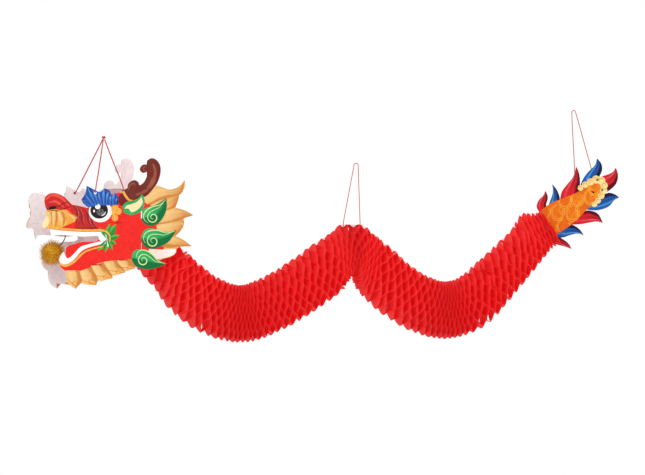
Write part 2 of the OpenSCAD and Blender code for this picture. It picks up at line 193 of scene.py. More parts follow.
class Wiring:
    """Short ways to add nodes to one node tree."""

    def __init__(self, tree):
        self.nodes = tree.nodes
        self.link = tree.links.new

    def put(self, socket, value):
        if isinstance(value, bpy.types.NodeSocket):
            self.link(value, socket)
        else:
            socket.default_value = value

    def math(self, operation, a, b=0.0, clamp=False):
        node = self.nodes.new("ShaderNodeMath")
        node.operation = operation
        node.use_clamp = clamp
        self.put(node.inputs[0], a)
        self.put(node.inputs[1], b)
        return node.outputs[0]

    def ramp(self, value, low, high):
        """0 at low, 1 at high, smooth between."""
        node = self.nodes.new("ShaderNodeMapRange")
        node.interpolation_type = "SMOOTHSTEP"
        self.put(node.inputs["Value"], value)
        self.put(node.inputs["From Min"], low)
        self.put(node.inputs["From Max"], high)
        return node.outputs["Result"]

    def mix(self, share, a, b, blend="MIX"):
        node = self.nodes.new("ShaderNodeMix")
        node.data_type = "RGBA"
        node.blend_type = blend
        self.put(node.inputs[0], share)
        self.put(node.inputs[6], a)
        self.put(node.inputs[7], b)
        return node.outputs[2]

    def attribute(self, name):
        node = self.nodes.new("ShaderNodeAttribute")
        node.attribute_name = name
        return node.outputs["Fac"]

    def place(self):
        return self.nodes.new("ShaderNodeTexCoord").outputs["Object"]

    def noise(self, scale, detail=3.0, vector=None, stretch=None):
        node = self.nodes.new("ShaderNodeTexNoise")
        vector = vector or self.place()
        if stretch:
            scaled = self.nodes.new("ShaderNodeVectorMath")
            scaled.operation = "MULTIPLY"
            self.link(vector, scaled.inputs[0])
            scaled.inputs[1].default_value = stretch
            vector = scaled.outputs[0]
        self.link(vector, node.inputs["Vector"])
        self.put(node.inputs["Scale"], scale)
        self.put(node.inputs["Detail"], detail)
        return node.outputs["Fac"]

    def group(self, tree, **values):
        node = self.nodes.new("ShaderNodeGroup")
        node.node_tree = tree
        for label, value in values.items():
            self.put(node.inputs[label.replace("_", " ")], value)
        return node.outputs


def make_fibre_group():
    """Paper's fibres: a tone that wanders with them, and their height."""
    tree = new_group(
        "paper_fibres",
        [("Colour", "NodeSocketColor", None), ("Deep", "NodeSocketColor", None),
         ("Fibre Scale", "NodeSocketFloat", 900.0), ("Amount", "NodeSocketFloat", 0.3)],
        [("Colour", "NodeSocketColor"), ("Height", "NodeSocketFloat")])
    w = Wiring(tree)
    given = w.nodes.new("NodeGroupInput").outputs
    out = w.nodes.new("NodeGroupOutput").inputs
    fibres = w.noise(given["Fibre Scale"], 4.0, stretch=(1.0, 1.0, 0.25))
    clouds = w.noise(w.math("MULTIPLY", given["Fibre Scale"], 0.08), 2.0)
    share = w.math("MULTIPLY", w.ramp(clouds, 0.35, 0.75), given["Amount"])
    w.put(out["Colour"], w.mix(share, given["Colour"], given["Deep"]))
    w.put(out["Height"], fibres)
    return tree


def make_stroke_group():
    """Brushed print on a blade: base to tip, a shaded side, a light edge and fine hairs."""
    colour, number = "NodeSocketColor", "NodeSocketFloat"
    tree = new_group(
        "brushed_print",
        [("Base", colour, None), ("Tip", colour, None), ("Shade", colour, None),
         ("Light", colour, None), ("Shade From", number, 0.4), ("Light Amount", number, 0.5),
         ("Hairs", number, 8.0), ("Hair Amount", number, 0.3)],
        [("Colour", colour), ("Height", number)])
    w = Wiring(tree)
    given = w.nodes.new("NodeGroupInput").outputs
    out = w.nodes.new("NodeGroupOutput").inputs
    along, across = w.attribute("along"), w.attribute("across")
    wander = w.math("MULTIPLY", w.noise(60.0, 2.0), 0.5)
    body = w.mix(w.ramp(along, 0.25, 1.0), given["Base"], given["Tip"])
    shade = w.ramp(w.math("ADD", across, wander), given["Shade From"],
                   w.math("ADD", given["Shade From"], 0.35))
    body = w.mix(shade, body, given["Shade"])
    lit = w.ramp(w.math("ABSOLUTE", w.math("ADD", across, 0.45)), 0.32, 0.0)
    lit = w.math("MULTIPLY", w.math("MULTIPLY", lit, w.noise(120.0, 2.0)), given["Light Amount"])
    body = w.mix(w.math("MULTIPLY", lit, 2.0, clamp=True), body, given["Light"])
    turn = w.math("MULTIPLY", w.math("ADD", across, wander), given["Hairs"])
    hair = w.ramp(w.math("ABSOLUTE", w.math("SINE", w.math("MULTIPLY", turn, math.pi))), 0.4, 0.0)
    body = w.mix(w.math("MULTIPLY", hair, given["Hair Amount"]), body, given["Shade"])
    w.put(out["Colour"], body)
    w.put(out["Height"], w.math("SUBTRACT", 1.0, hair))
    return tree


# ---- materials --------------------------------------------------------------------------
def new_material(name, **sockets):
    """A Principled material. sockets holds its plain values, with _ for a space."""
    material = bpy.data.materials.new(name)
    material.use_nodes = True
    shader = material.node_tree.nodes["Principled BSDF"]
    for label, value in sockets.items():
        shader.inputs[label.replace("_", " ")].default_value = value
    return material, Wiring(material.node_tree), shader


def add_bump(w, shader, height, strength, distance):
    bump = w.nodes.new("ShaderNodeBump")
    bump.inputs["Strength"].default_value = strength
    bump.inputs["Distance"].default_value = distance
    w.put(bump.inputs["Height"], height)
    w.link(bump.outputs["Normal"], shader.inputs["Normal"])


def flat_print(name, colour, deep, amount=0.5, scale=900.0, gloss=0.38):
    """A flat area of glossy print on card."""
    material, w, shader = new_material(
        name, Roughness=gloss, Specular_IOR_Level=0.1)
    made = w.group(FIBRES, Colour=colour, Deep=deep, Amount=amount, Fibre_Scale=scale)
    w.link(made["Colour"], shader.inputs["Base Color"])
    add_bump(w, shader, made["Height"], 0.12, 0.0002)
    return material


def brushed(name, base, tip, shade, light=WHITE, shade_from=0.4, lit=0.0, hairs=6.0, hair=0.3,
            gloss=0.38):
    """Brushed print on the blades of a mane, a flame or a leaf."""
    material, w, shader = new_material(
        name, Roughness=gloss, Specular_IOR_Level=0.1)
    made = w.group(BRUSH, Base=base, Tip=tip, Shade=shade, Light=light, Shade_From=shade_from,
                   Light_Amount=lit, Hairs=hairs, Hair_Amount=hair)
    w.link(made["Colour"], shader.inputs["Base Color"])
    add_bump(w, shader, made["Height"], 0.15, 0.0002)
    return material


def tissue_paper():
    """Thin dyed tissue with painted light and shade: deeper as painted shade where it is packed,
    lighter as painted light through the paper where it is drawn open and at its rims, with a faint
    emission as a painted glow.
    """
    # The emission is painted light: a faint red glow in place of light coming through the tissue
    material, w, shader = new_material(
        "tissue", Roughness=0.75, Sheen_Weight=0.25, Sheen_Roughness=0.5,
        Sheen_Tint=TISSUE_LIT, Emission_Color=TISSUE_RED, Emission_Strength=0.3)
    made = w.group(FIBRES, Colour=TISSUE_RED, Deep=TISSUE_DEEP_AND_SHADE, Amount=0.35, Fibre_Scale=700.0)
    # Painted light where open sheets and their rims let light through, painted shade where packed
    # sheets shade each other
    painted_glow = w.math("MULTIPLY", w.attribute("open"), w.ramp(w.attribute("rim"), 0.5, 1.0))
    packed = w.math("SUBTRACT", 1.0, w.attribute("open"))
    tone = w.mix(w.math("MULTIPLY", packed, 0.35), made["Colour"], TISSUE_DEEP_AND_SHADE)
    w.link(w.mix(w.math("MULTIPLY", painted_glow, 0.35), tone, TISSUE_LIT), shader.inputs["Base Color"])
    add_bump(w, shader, made["Height"], 0.25, 0.0006)
    return material


def card_stock(name, colour, deep):
    """Uncoated card: the inner faces, the shelves and the cut edges."""
    material, w, shader = new_material(name, Roughness=0.7)
    made = w.group(FIBRES, Colour=colour, Deep=deep, Amount=0.4, Fibre_Scale=1200.0)
    w.link(made["Colour"], shader.inputs["Base Color"])
    add_bump(w, shader, made["Height"], 0.2, 0.0002)
    return material


def twisted_cord():
    material, w, shader = new_material("twisted_cord", Roughness=0.5, Sheen_Weight=0.3)
    made = w.group(FIBRES, Colour=CORD_RED, Deep=TISSUE_DEEP_AND_SHADE, Amount=0.8, Fibre_Scale=2500.0)
    wave = w.nodes.new("ShaderNodeTexWave")
    wave.bands_direction = "DIAGONAL"
    wave.inputs["Scale"].default_value = 260.0
    w.link(w.place(), wave.inputs["Vector"])
    # Painted shade: the wave darkens diagonal bands where the grooves of the twist fall in shade;
    # the same wave gives the bump
    tone = w.mix(w.math("MULTIPLY", wave.outputs["Fac"], 0.35), made["Colour"], TISSUE_DEEP_AND_SHADE)
    w.link(tone, shader.inputs["Base Color"])
    add_bump(w, shader, wave.outputs["Fac"], 0.6, 0.0005)
    return material


def metal_foil(name, colour, shade_colour, roughness):
    """Crinkled metallised film, or twisted wire, its colour painted with glints and shade that
    wander over the crinkles.
    """
    material, w, shader = new_material(name, Metallic=0.45)
    glint = w.noise(700.0, 3.0)
    # Painted light: the noise mixes bright glints and darker painted shade into the base colour
    w.link(w.mix(w.ramp(glint, 0.4, 0.62), shade_colour, colour), shader.inputs["Base Color"])
    w.link(w.math("ADD", w.math("MULTIPLY", glint, 0.3), roughness), shader.inputs["Roughness"])
    add_bump(w, shader, glint, 0.5, 0.0008)
    return material


# ---- mesh helpers -----------------------------------------------------------------------
def curve_point(a, b, c, d, t):
    """Catmull-Rom point between b and c."""
    return 0.5 * (2 * b + (c - a) * t + (2 * a - 5 * b + 4 * c - d) * t * t
                  + (3 * b - a - 3 * c + d) * t ** 3)


def smooth(points, steps=4):
    """A smooth line through points, its ends kept."""
    p = [Vector(q) for q in points]
    if len(p) < 3:
        return p
    last = len(p) - 1
    line = []
    for i in range(last):
        a, b, c, d = p[max(i - 1, 0)], p[i], p[i + 1], p[min(i + 2, last)]
        line += [curve_point(a, b, c, d, k / steps) for k in range(steps)]
    return line + [p[-1]]


def spaced(line, count):
    """count points at even distances along a line."""
    reach = [0.0]
    for a, b in zip(line, line[1:]):
        reach.append(reach[-1] + (b - a).length)
    found, i = [], 0
    for k in range(count):
        want = reach[-1] * k / (count - 1)
        while i < len(line) - 2 and reach[i + 1] < want:
            i += 1
        span = max(reach[i + 1] - reach[i], 1e-9)
        found.append(line[i].lerp(line[i + 1], min((want - reach[i]) / span, 1)))
    return found


def loop_of(runs, steps=5):
    """A closed outline from smooth runs that meet in corners."""
    points = []
    for run in runs:
        points += smooth(run, steps)[:-1]
    return points


def oval(centre, rx, ry, count=40, tilt=0.0):
    c, s = math.cos(tilt), math.sin(tilt)
    points = []
    for k in range(count):
        x = rx * math.cos(math.tau * k / count)
        y = ry * math.sin(math.tau * k / count)
        points.append(Vector((centre[0] + x * c - y * s, centre[1] + x * s + y * c)))
    return points


def finish_object(name, mesh, material, body):
    piece = bpy.data.objects.new(name, mesh)
    bpy.context.scene.collection.objects.link(piece)
    mesh.materials.append(material)
    if body:
        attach(piece, body)
    return piece


class Print:
    """Printed shapes of one material on one face of a board, in slight relief.

    Shapes are drawn flat in millimetres; place turns (across, up, height) in metres into
    a point of the object."""

    def __init__(self, place, base=0.0):
        self.place, self.base = place, base
        self.points, self.faces = [], []
        self.along, self.across = [], []

    def point(self, flat, height, along=0.0, across=0.0):
        self.points.append(self.place(flat[0] * MM, flat[1] * MM, height * MM))
        self.along.append(along)
        self.across.append(across)
        return len(self.points) - 1

    def wall(self, rim, base):
        for i in range(len(rim)):
            j = (i + 1) % len(rim)
            self.faces.append((rim[i], rim[j], base[j], base[i]))

    def plate(self, outline, height):
        """A flat shape with a closed outline."""
        flat = [Vector((p[0], p[1])) for p in outline]
        edges = [(i, (i + 1) % len(flat)) for i in range(len(flat))]
        made = delaunay_2d_cdt(flat, edges, [], 1, 1e-5)
        points, faces = made[0], made[2]
        index = [self.point(p, height) for p in points]
        self.faces += [tuple(index[i] for i in f) for f in faces]
        rim = [self.point(p, height) for p in flat]
        self.wall(rim, [self.point(p, self.base) for p in flat])

    def blade(self, left, right, height, dome=0.3, rows=14, columns=6):
        """A shape between two lines that run from its base to its tip."""
        lines = spaced(smooth(left), rows), spaced(smooth(right), rows)
        grid = []
        for i in range(rows):
            along = i / (rows - 1)
            row = []
            for k in range(columns + 1):
                across = 2 * k / columns - 1
                flat = lines[0][i].lerp(lines[1][i], k / columns)
                lift = dome * (1 - across * across)
                row.append(self.point(flat, height + lift, along, across))
            grid.append(row)
        for i in range(rows - 1):
            for k in range(columns):
                self.faces.append((grid[i][k], grid[i + 1][k], grid[i + 1][k + 1], grid[i][k + 1]))
        rim_points = [(lines[0][i], i / (rows - 1), -1) for i in range(rows)]
        rim_points += [(lines[1][i], i / (rows - 1), 1) for i in reversed(range(rows))]
        rim = [self.point(p, height, s, t) for p, s, t in rim_points]
        self.wall(rim, [self.point(p, self.base, s, t) for p, s, t in rim_points])

    def ribbon(self, line, width, height, taper=(0.35, 1.0, 0.2), dome=0.15, steps=6):
        """A brushed line. taper gives its width at its start, middle and end."""
        path = smooth(line, steps)
        left, right = [], []
        for i, p in enumerate(path):
            t = i / (len(path) - 1)
            ahead = path[min(i + 1, len(path) - 1)] - path[max(i - 1, 0)]
            side = Vector((-ahead[1], ahead[0])).normalized()
            a, b, c = taper
            share = a + (b - a) * min(2 * t, 1) if t < 0.5 else b + (c - b) * (2 * t - 1)
            left.append(p + side * width / 2 * share)
            right.append(p - side * width / 2 * share)
        start = len(self.points)
        rows = len(path)
        for i in range(rows):
            s = i / (rows - 1)
            self.point(left[i], 0, s, -1)
            self.point(left[i], height, s, -1)
            self.point(path[i], height + dome, s, 0)
            self.point(right[i], height, s, 1)
            self.point(right[i], 0, s, 1)
        for i in range(rows - 1):
            a, b = start + 5 * i, start + 5 * (i + 1)
            for k in range(4):
                self.faces.append((a + k, b + k, b + k + 1, a + k + 1))

    def build(self, name, material, body, slot):
        mesh = bpy.data.meshes.new(name)
        mesh.from_pydata(self.points, [], self.faces)
        for label, values in (("along", self.along), ("across", self.across)):
            mesh.attributes.new(label, "FLOAT", "POINT").data.foreach_set("value", values)
        made = bmesh.new()
        made.from_mesh(mesh)
        bmesh.ops.dissolve_degenerate(made, dist=1e-7, edges=made.edges)
        bmesh.ops.recalc_face_normals(made, faces=made.faces)
        made.to_mesh(mesh)
        made.free()
        return finish_object(name, mesh, material, body)


# ---- cords ------------------------------------------------------------------------------
STRING_D = 0.002
BRIDLE_D = 0.003
APEX = (-0.630, -0.060, 0.064)
NEAR_ROUTE = [(-0.652, -0.125, -0.078), (-0.651, -0.130, -0.075), (-0.650, -0.134, -0.071),
              (-0.649, -0.134, -0.064), (-0.647, -0.126, -0.050), (-0.643, -0.112, -0.026),
              (-0.639, -0.096, 0.002), (-0.635, -0.080, 0.030), (-0.631, -0.062, 0.061)]
FAR_ROUTE = [(-0.706, -0.007, -0.078), (-0.703, -0.012, -0.075), (-0.700, -0.016, -0.071),
             (-0.696, -0.019, -0.064), (-0.688, -0.024, -0.049), (-0.675, -0.032, -0.024),
             (-0.660, -0.041, 0.005), (-0.645, -0.050, 0.034), (-0.632, -0.058, 0.060)]
REAR_ROUTE = [(-0.582, -0.028, -0.069), (-0.582, -0.028, -0.064), (-0.583, -0.029, -0.058),
              (-0.588, -0.033, -0.044), (-0.597, -0.039, -0.021), (-0.607, -0.045, 0.004),
              (-0.618, -0.052, 0.032), (-0.628, -0.058, 0.059)]
MIDDLE_ROUTE = [(-0.032, 0, -0.161), (-0.032, 0, -0.150), (-0.027, 0, -0.122),
                (-0.021, 0, -0.090), (-0.015, 0, -0.058), (-0.009, 0, -0.026),
                (-0.006, 0, -0.010), (-0.005, 0, -0.005), (-0.003, 0, -0.0015), (0, 0, 0),
                (0.003, 0, -0.0015), (0.005, 0, -0.005), (0.0055, 0, -0.014),
                (0.0065, 0, -0.050), (0.008, 0, -0.090), (0.009, 0, -0.122),
                (0.010, 0, -0.150), (0.010, 0, -0.161)]
TAIL_ROUTE = [(0.547, 0.0032, -0.041), (0.547, 0, -0.037), (0.547, -0.0035, -0.032),
              (0.546, -0.0035, -0.018), (0.544, -0.003, 0.030), (0.541, -0.0015, 0.080),
              (0.5395, 0, 0.120), (0.5395, 0, 0.127), (0.541, 0, 0.1305), (0.544, 0, 0.132),
              (0.547, 0, 0.1305), (0.549, 0, 0.126), (0.553, 0.0005, 0.112),
              (0.564, 0.0015, 0.073), (0.577, 0.0025, 0.026), (0.588, 0.003, -0.014),
              (0.592, 0.0032, -0.028)]


def tube(name, lines, width, material, closed=False):
    """A round cord along each line, as one curve object."""
    curve = bpy.data.curves.new(name, "CURVE")
    curve.dimensions = "3D"
    curve.bevel_depth = width / 2
    curve.bevel_resolution = 3
    curve.use_fill_caps = True
    for line in lines:
        spline = curve.splines.new("POLY")
        spline.points.add(len(line) - 1)
        spline.use_cyclic_u = closed
        for point, place in zip(spline.points, line):
            point.co = (*place, 1)
    piece = bpy.data.objects.new(name, curve)
    bpy.context.scene.collection.objects.link(piece)
    curve.materials.append(material)
    return piece


def knot_line(centre, size, count=48):
    """A trefoil, the shape that an overhand knot pulls into."""
    points = []
    for k in range(count):
        t = math.tau * k / count
        x = math.sin(t) + 2 * math.sin(2 * t)
        y = math.cos(t) - 2 * math.cos(2 * t)
        z = -math.sin(3 * t)
        points.append(Vector(centre) + Vector((x, y, z * 1.4)) * size / 3)
    return points


def knots(name, centres, size, width, body, *nodes):
    piece = tube(name, [knot_line(c, size) for c in centres], width, CORD, closed=True)
    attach(piece, body)
    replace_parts(piece, *nodes)
    return piece


def free_cord(name, route, width, body, node, steps):
    piece = tube(name, [smooth(route, steps)], width, CORD)
    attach(piece, body)
    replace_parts(piece, node)


def make_cords():
    apex = knots("apex_knot", [APEX], 0.0038, BRIDLE_D, "head", "bridle_apex_knot")
    for name, route, length in (("bridle_cord_near", NEAR_ROUTE, 0.164),
                                ("bridle_cord_far", FAR_ROUTE, 0.167),
                                ("bridle_cord_rear", REAR_ROUTE, 0.140)):
        end = knots(name + "_knot", [route[0]], 0.0026, 0.0022, "head", "bridle_end_knots")
        free_cord(name, route, BRIDLE_D, "head", name.replace("_cord", ""), 3)
    ends = [MIDDLE_ROUTE[0], MIDDLE_ROUTE[-1]]
    middle_ends = knots("middle_knots", ends, 0.0026, 0.0022, "string", "middle_string_knots")
    free_cord("middle_cord", MIDDLE_ROUTE, STRING_D, "string", "middle_string",
              2)
    ends = [TAIL_ROUTE[0], TAIL_ROUTE[-1]]
    tail_ends = knots("tail_knots", ends, 0.0018, 0.0018, "tail", "tail_string_knots")
    free_cord("tail_cord", TAIL_ROUTE, STRING_D, "tail", "tail_string", 2)


# ---- tissue -----------------------------------------------------------------------------
TISSUE_R = 0.072
NECK_R = 0.050
TAIL_R = 0.048
CELL = 0.0195
STRETCHED_PITCH = 0.0115
PACKED_PITCH = 0.0046
LEVEL = math.radians(6)
STEEP = math.radians(40)
NECK_YAW = math.atan2(-JOINT_AXIS["pearl_swing"].x, JOINT_AXIS["pearl_swing"].y)
TAIL_LEAN = math.atan2(-JOINT_AXIS["tail_wag"].x, JOINT_AXIS["tail_wag"].z)
FRONT_JOINTS = ["front_gather"] + ["front_bend_%d" % k for k in range(2, 8)]
REAR_JOINTS = ["rear_gather"] + ["rear_bend_%d" % k for k in range(2, 8)]
SAMPLES = 40
SHEET_TURNS = [20, 17, 14, 12, 14, 16, 17, 16, 16, 15, 14, 12, 15, 18]
HANG = 0.45
BOW = 0.008
FRONT_SAG = 0.005
RIDGE_X = -0.011
RIDGE_TOP = -0.1532
TAIL_WRAP = [0.004, 0.008, 0.012]
TAIL_TOP = -0.1245
RIDGE_NOTCH = 0.6
THREAD_UP = 0.95
THREAD_R = 0.0007
KNOT_ROOM = 0.0075
COLUMNS = 10
ROWS_PER_CELL = 5
RIDGE_PACKED = 0.055
RIDGE_CALM = 0.04
SWAY = 0.06
WRAP_GAP = 0.0024
THREAD_STEP = 0.004
THREAD_SIDES = 3
# A sheet's folds: how far its cells wander, how sharp their creases are, how far they reach
# towards the next sheet, how much they flatten near the ridge, and how its rim narrows
CELL_WANDER = 0.12
CREASE = 0.6
FOLD_GAIN = 1.08
FOLD_REACH = 0.49
CALM_WAVE = 0.7
RIM_PINCH = 0.22
CELL_BULGE = 0.05
EDGE_FLARE = 0.08
BLEND_SPREAD = 0.30
# Where sheets are drawn up or left hanging, and over what distance it fades
RIDGE_LIFT_END, RIDGE_LIFT_FADE = 0.050, 0.024
TAIL_LIFT_START, TAIL_LIFT_FADE = 0.385, 0.035
HANG_FADE = 0.08


def flat(name):
    return Vector((JOINT_AT[name].x, JOINT_AT[name].z))


def heading(a, b):
    return math.atan2(b[1] - a[1], b[0] - a[0])


def unit(angle):
    return Vector((math.cos(angle), math.sin(angle)))


def ridge_point():
    low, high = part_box("ridge_strip")
    return Vector(((low.x + high.x) / 2, low.z + 0.002 - TISSUE_R))


class BodyLine:
    """The line of the body from neck to tail, by distance from the neck."""

    def __init__(self):
        front = [flat("head_turn")] + [flat(n) for n in reversed(FRONT_JOINTS)]
        rear = [flat(n) for n in REAR_JOINTS] + [flat("tail_wag")]
        front = [p - Vector((0, FRONT_SAG * math.exp(-((p.x + 0.286) / 0.07) ** 2)))
                 for p in front]
        ridge = ridge_point()
        stations = front + rear
        middle = len(front) - 1
        turns = [0.0]
        for i in range(1, len(stations) - 1):
            before = ridge if i == middle + 1 else stations[i - 1]
            after = ridge if i == middle else stations[i + 1]
            turns.append(heading(before, after))
        turns.append(TAIL_LEAN)
        shares = [NECK_R / TISSUE_R, 0.80, 0.95, 1, 1, 0.98, 0.97, 0.97,
                  0.97, 0.98, 1, 1, 0.97, 0.87, 0.79, TAIL_R / TISSUE_R]
        self.places, self.radii, self.lows, self.reach = [], [], [], [0.0]
        for i in range(len(stations) - 1):
            p, q, a, b = stations[i], stations[i + 1], turns[i], turns[i + 1]
            pull = (q - p).length * (1.9 if i == middle else 1.0)
            for k in range(SAMPLES):
                t = k / SAMPLES
                hill = math.sin(math.pi * t) if i == middle else 0.0
                self.places.append(
                    (2 * t ** 3 - 3 * t ** 2 + 1) * p + (t ** 3 - 2 * t ** 2 + t) * pull * unit(a)
                    + (3 * t ** 2 - 2 * t ** 3) * q + (t ** 3 - t ** 2) * pull * unit(b))
                self.radii.append(TISSUE_R * (shares[i] * (1 - t) + shares[i + 1] * t))
                self.lows.append(1 - RIDGE_NOTCH * hill)
        self.places.append(stations[-1])
        self.radii.append(TAIL_R)
        self.lows.append(1.0)
        for a, b in zip(self.places, self.places[1:]):
            self.reach.append(self.reach[-1] + (b - a).length)
        self.station_reach = [self.reach[i * SAMPLES] for i in range(len(stations))]
        self.length = self.reach[-1]

    def at(self, s):
        """Place, heading, radius and share below the line at distance s."""
        past = max(s - self.length, 0.0)
        s = min(max(s, 0.0), self.length)
        low, high = 0, len(self.reach) - 1
        while high - low > 1:
            mid = (low + high) // 2
            low, high = (mid, high) if self.reach[mid] <= s else (low, mid)
        t = (s - self.reach[low]) / max(self.reach[high] - self.reach[low], 1e-9)
        place = self.places[low].lerp(self.places[high], t)
        before, after = max(low - 3, 0), min(high + 3, len(self.places) - 1)
        radius = self.radii[low] * (1 - t) + self.radii[high] * t
        share = self.lows[low] * (1 - t) + self.lows[high] * t
        turn = heading(self.places[before], self.places[after])
        return place + unit(turn) * past, turn, radius, share


def openness(turn):
    """0 where the sheets hang packed in the bottom of a swag, 1 on its steep sides."""
    return ease((abs(turn) - LEVEL) / (STEEP - LEVEL))


def ease(x):
    x = min(max(x, 0.0), 1.0)
    return x * x * (3 - 2 * x)


def sheet_yaw(line, s):
    """How far a sheet is turned about the vertical: fully at the neck, least at the tail."""
    turns = [NECK_YAW] + [math.radians(d) for d in SHEET_TURNS + SHEET_TURNS[-1:]]
    i = 0
    while i < len(turns) - 2 and line.station_reach[i + 1] < s:
        i += 1
    span = line.station_reach[i + 1] - line.station_reach[i]
    held = 0.35 + 0.65 * ease((line.length - s) / 0.045)
    return held * (turns[i] + (turns[i + 1] - turns[i]) * ease((s - line.station_reach[i]) / span))


def side_shift(line, s):
    """The last stretch leans over to the neck, which hangs nearer than the body."""
    return JOINT_AT["head_turn"].y * (1 - ease(s / line.station_reach[1]))


def sheet_places(line):
    """Distances of the sheets, closer together where the body hangs level or is held."""
    places, s = [], 0.0
    while s < line.length:
        places.append(s)
        turn = line.at(s)[1]
        near_ridge = abs(s - (line.station_reach[7] + line.station_reach[8]) / 2) < RIDGE_PACKED
        share = 0.2 if near_ridge else openness(turn)
        share *= 0.15 + 0.85 * ease((line.length - s) / 0.12)
        s += PACKED_PITCH + (STRETCHED_PITCH - PACKED_PITCH) * share
    places = [p * line.length / places[-1] for p in places]
    return places + [line.length + wrap for wrap in TAIL_WRAP]


def top_lift(x, z):
    """How far a sheet's top is drawn up: under the ridge strip, and beside the tail."""
    ridge = ease((RIDGE_LIFT_END - abs(x - RIDGE_X)) / RIDGE_LIFT_FADE) * max(RIDGE_TOP - z, 0)
    tail = ease((x - TAIL_LIFT_START) / TAIL_LIFT_FADE) * max(TAIL_TOP - z, 0)
    return max(ridge, tail)


def section(line, s):
    """Centre of the sheet at s, its upward direction, its radius and its top's lift."""
    centre, turn, radius, _ = line.at(s)
    hung = turn * (1 - HANG * ease((line.length - s) / HANG_FADE))
    across = Vector((-math.sin(hung), math.cos(hung))) / math.cos(turn - hung)
    top = centre + across * radius
    return centre, across, turn, radius, top_lift(top.x, top.y)


def thread(line, first, last, points, faces):
    """The thread that the sheets hang on, just under their tops."""
    count = max(int((last - first) / THREAD_STEP), 2)
    start = len(points)
    for i in range(count + 1):
        s = first + (last - first) * i / count
        centre, across, _, radius, lift = section(line, s)
        up = THREAD_UP
        for k in range(THREAD_SIDES):
            a = math.tau * k / THREAD_SIDES
            points.append((centre.x + across.x * up * radius,
                           side_shift(line, s) + THREAD_R * math.sin(a),
                           centre.y + across.y * up * radius + lift * up ** 2
                           + THREAD_R * math.cos(a)))
    for i in range(count):
        for k in range(THREAD_SIDES):
            a, b = start + THREAD_SIDES * i + k, start + THREAD_SIDES * i + (k + 1) % THREAD_SIDES
            faces.append((a, b, b + THREAD_SIDES, a + THREAD_SIDES))


def clear_of_knots(point):
    """The point, moved out of the pocket that each knot of the middle string turns in."""
    for knot_at in (Vector(MIDDLE_ROUTE[0]), Vector(MIDDLE_ROUTE[-1])):
        away = Vector(point) - knot_at
        if away.length < KNOT_ROOM:
            point = tuple(knot_at + away.normalized() * KNOT_ROOM)
    return point


def fold_wave(step, open_share, sway, near_ridge):
    """How far a sheet leans to the next (1) or the one before (-1) at a step of its cells."""
    wave = 1 - 2 * abs(step % 2 - 1)
    rounded = math.sin(wave * math.pi / 2)
    wave = rounded + (wave - rounded) * CREASE * open_share
    wave = min(max(wave * FOLD_GAIN + sway, -1), 1)
    return wave * CALM_WAVE if near_ridge else wave


def tissue_piece(name, line, sheets, first, last, bodies, joint, node):
    """The sheets from distance first to last, the stretch around one joint of the body."""
    dice = random.Random(name)
    points, faces, opens, rims = [], [], [], []
    for i, s in enumerate(sheets):
        if not (first <= s < last or s >= last == line.length):
            continue
        wrapped = s > line.length
        place, turn, radius, low = line.at(s)
        gap_before = s - sheets[i - 1] if i else 0.0
        gap_after = sheets[i + 1] - s if i < len(sheets) - 1 else 0.0
        cells = max(round(2 * radius / CELL), 4)
        rows = cells * ROWS_PER_CELL
        open_share = openness(turn)
        yaw = sheet_yaw(line, s)
        sway = dice.uniform(-SWAY, SWAY)
        start = len(points)
        for r in range(rows + 1):
            level = r / rows
            up = -low + (1 + low) * level
            cell = level * cells + CELL_WANDER * math.sin(3 * s / CELL + 5 * level)
            wave = fold_wave(cell + i, open_share, sway, abs(place.x - RIDGE_X) < RIDGE_CALM)
            reach = s + wave * FOLD_REACH * (gap_after if wave > 0 else gap_before)
            centre, across, here, r_here, lift = section(line, reach)
            point = 1 - RIM_PINCH * open_share * abs(up) ** 5
            rim_half = math.sqrt(max(1 - up * up, 0.006)) * r_here * point
            for c in range(COLUMNS + 1):
                side = 2 * c / COLUMNS - 1
                if wrapped:
                    side = math.copysign(max(abs(side), WRAP_GAP / rim_half), side)
                bulge = 1 - CELL_BULGE * math.sin(math.pi * (cell % 1)) * abs(side)
                y = side * rim_half * bulge
                flare = (EDGE_FLARE * (gap_after + gap_before) * side ** 3
                         * math.sin(cell * 2.1 + i))
                along = unit(here) * flare
                bow = BOW * (1 - side * side) * rim_half / r_here
                x = centre.x + across.x * up * r_here + along.x - y * math.sin(yaw) - bow
                z = centre.y + across.y * up * r_here + along.y + lift * max(up, 0) ** 2
                points.append((x, y * math.cos(yaw) + side_shift(line, reach), z))
                opens.append(open_share)
                rims.append(max(abs(up), abs(side)))
        for r in range(rows):
            for c in range(COLUMNS):
                if wrapped and c in (COLUMNS // 2 - 1, COLUMNS // 2):
                    continue
                a = start + r * (COLUMNS + 1) + c
                faces.append((a, a + 1, a + COLUMNS + 2, a + COLUMNS + 1))
    thread(line, first, last, points, faces)
    points = [clear_of_knots(p) for p in points]
    opens += [1.0] * (len(points) - len(opens))
    rims += [1.0] * (len(points) - len(rims))
    mesh = bpy.data.meshes.new(name)
    mesh.from_pydata(points, [], faces)
    for label, values in (("open", opens), ("rim", rims)):
        mesh.attributes.new(label, "FLOAT", "POINT").data.foreach_set("value", values)
    mesh.shade_smooth()
    piece = finish_object(name, mesh, TISSUE, None)
    if joint is None:
        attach(piece, bodies[0])
    else:
        spread = BLEND_SPREAD * (last - first)
        turn = line.at((first + last) / 2)[1]
        along = Vector((math.cos(turn), 0, math.sin(turn))) * spread
        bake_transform(piece)
    if node:
        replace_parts(piece, node)
    return piece


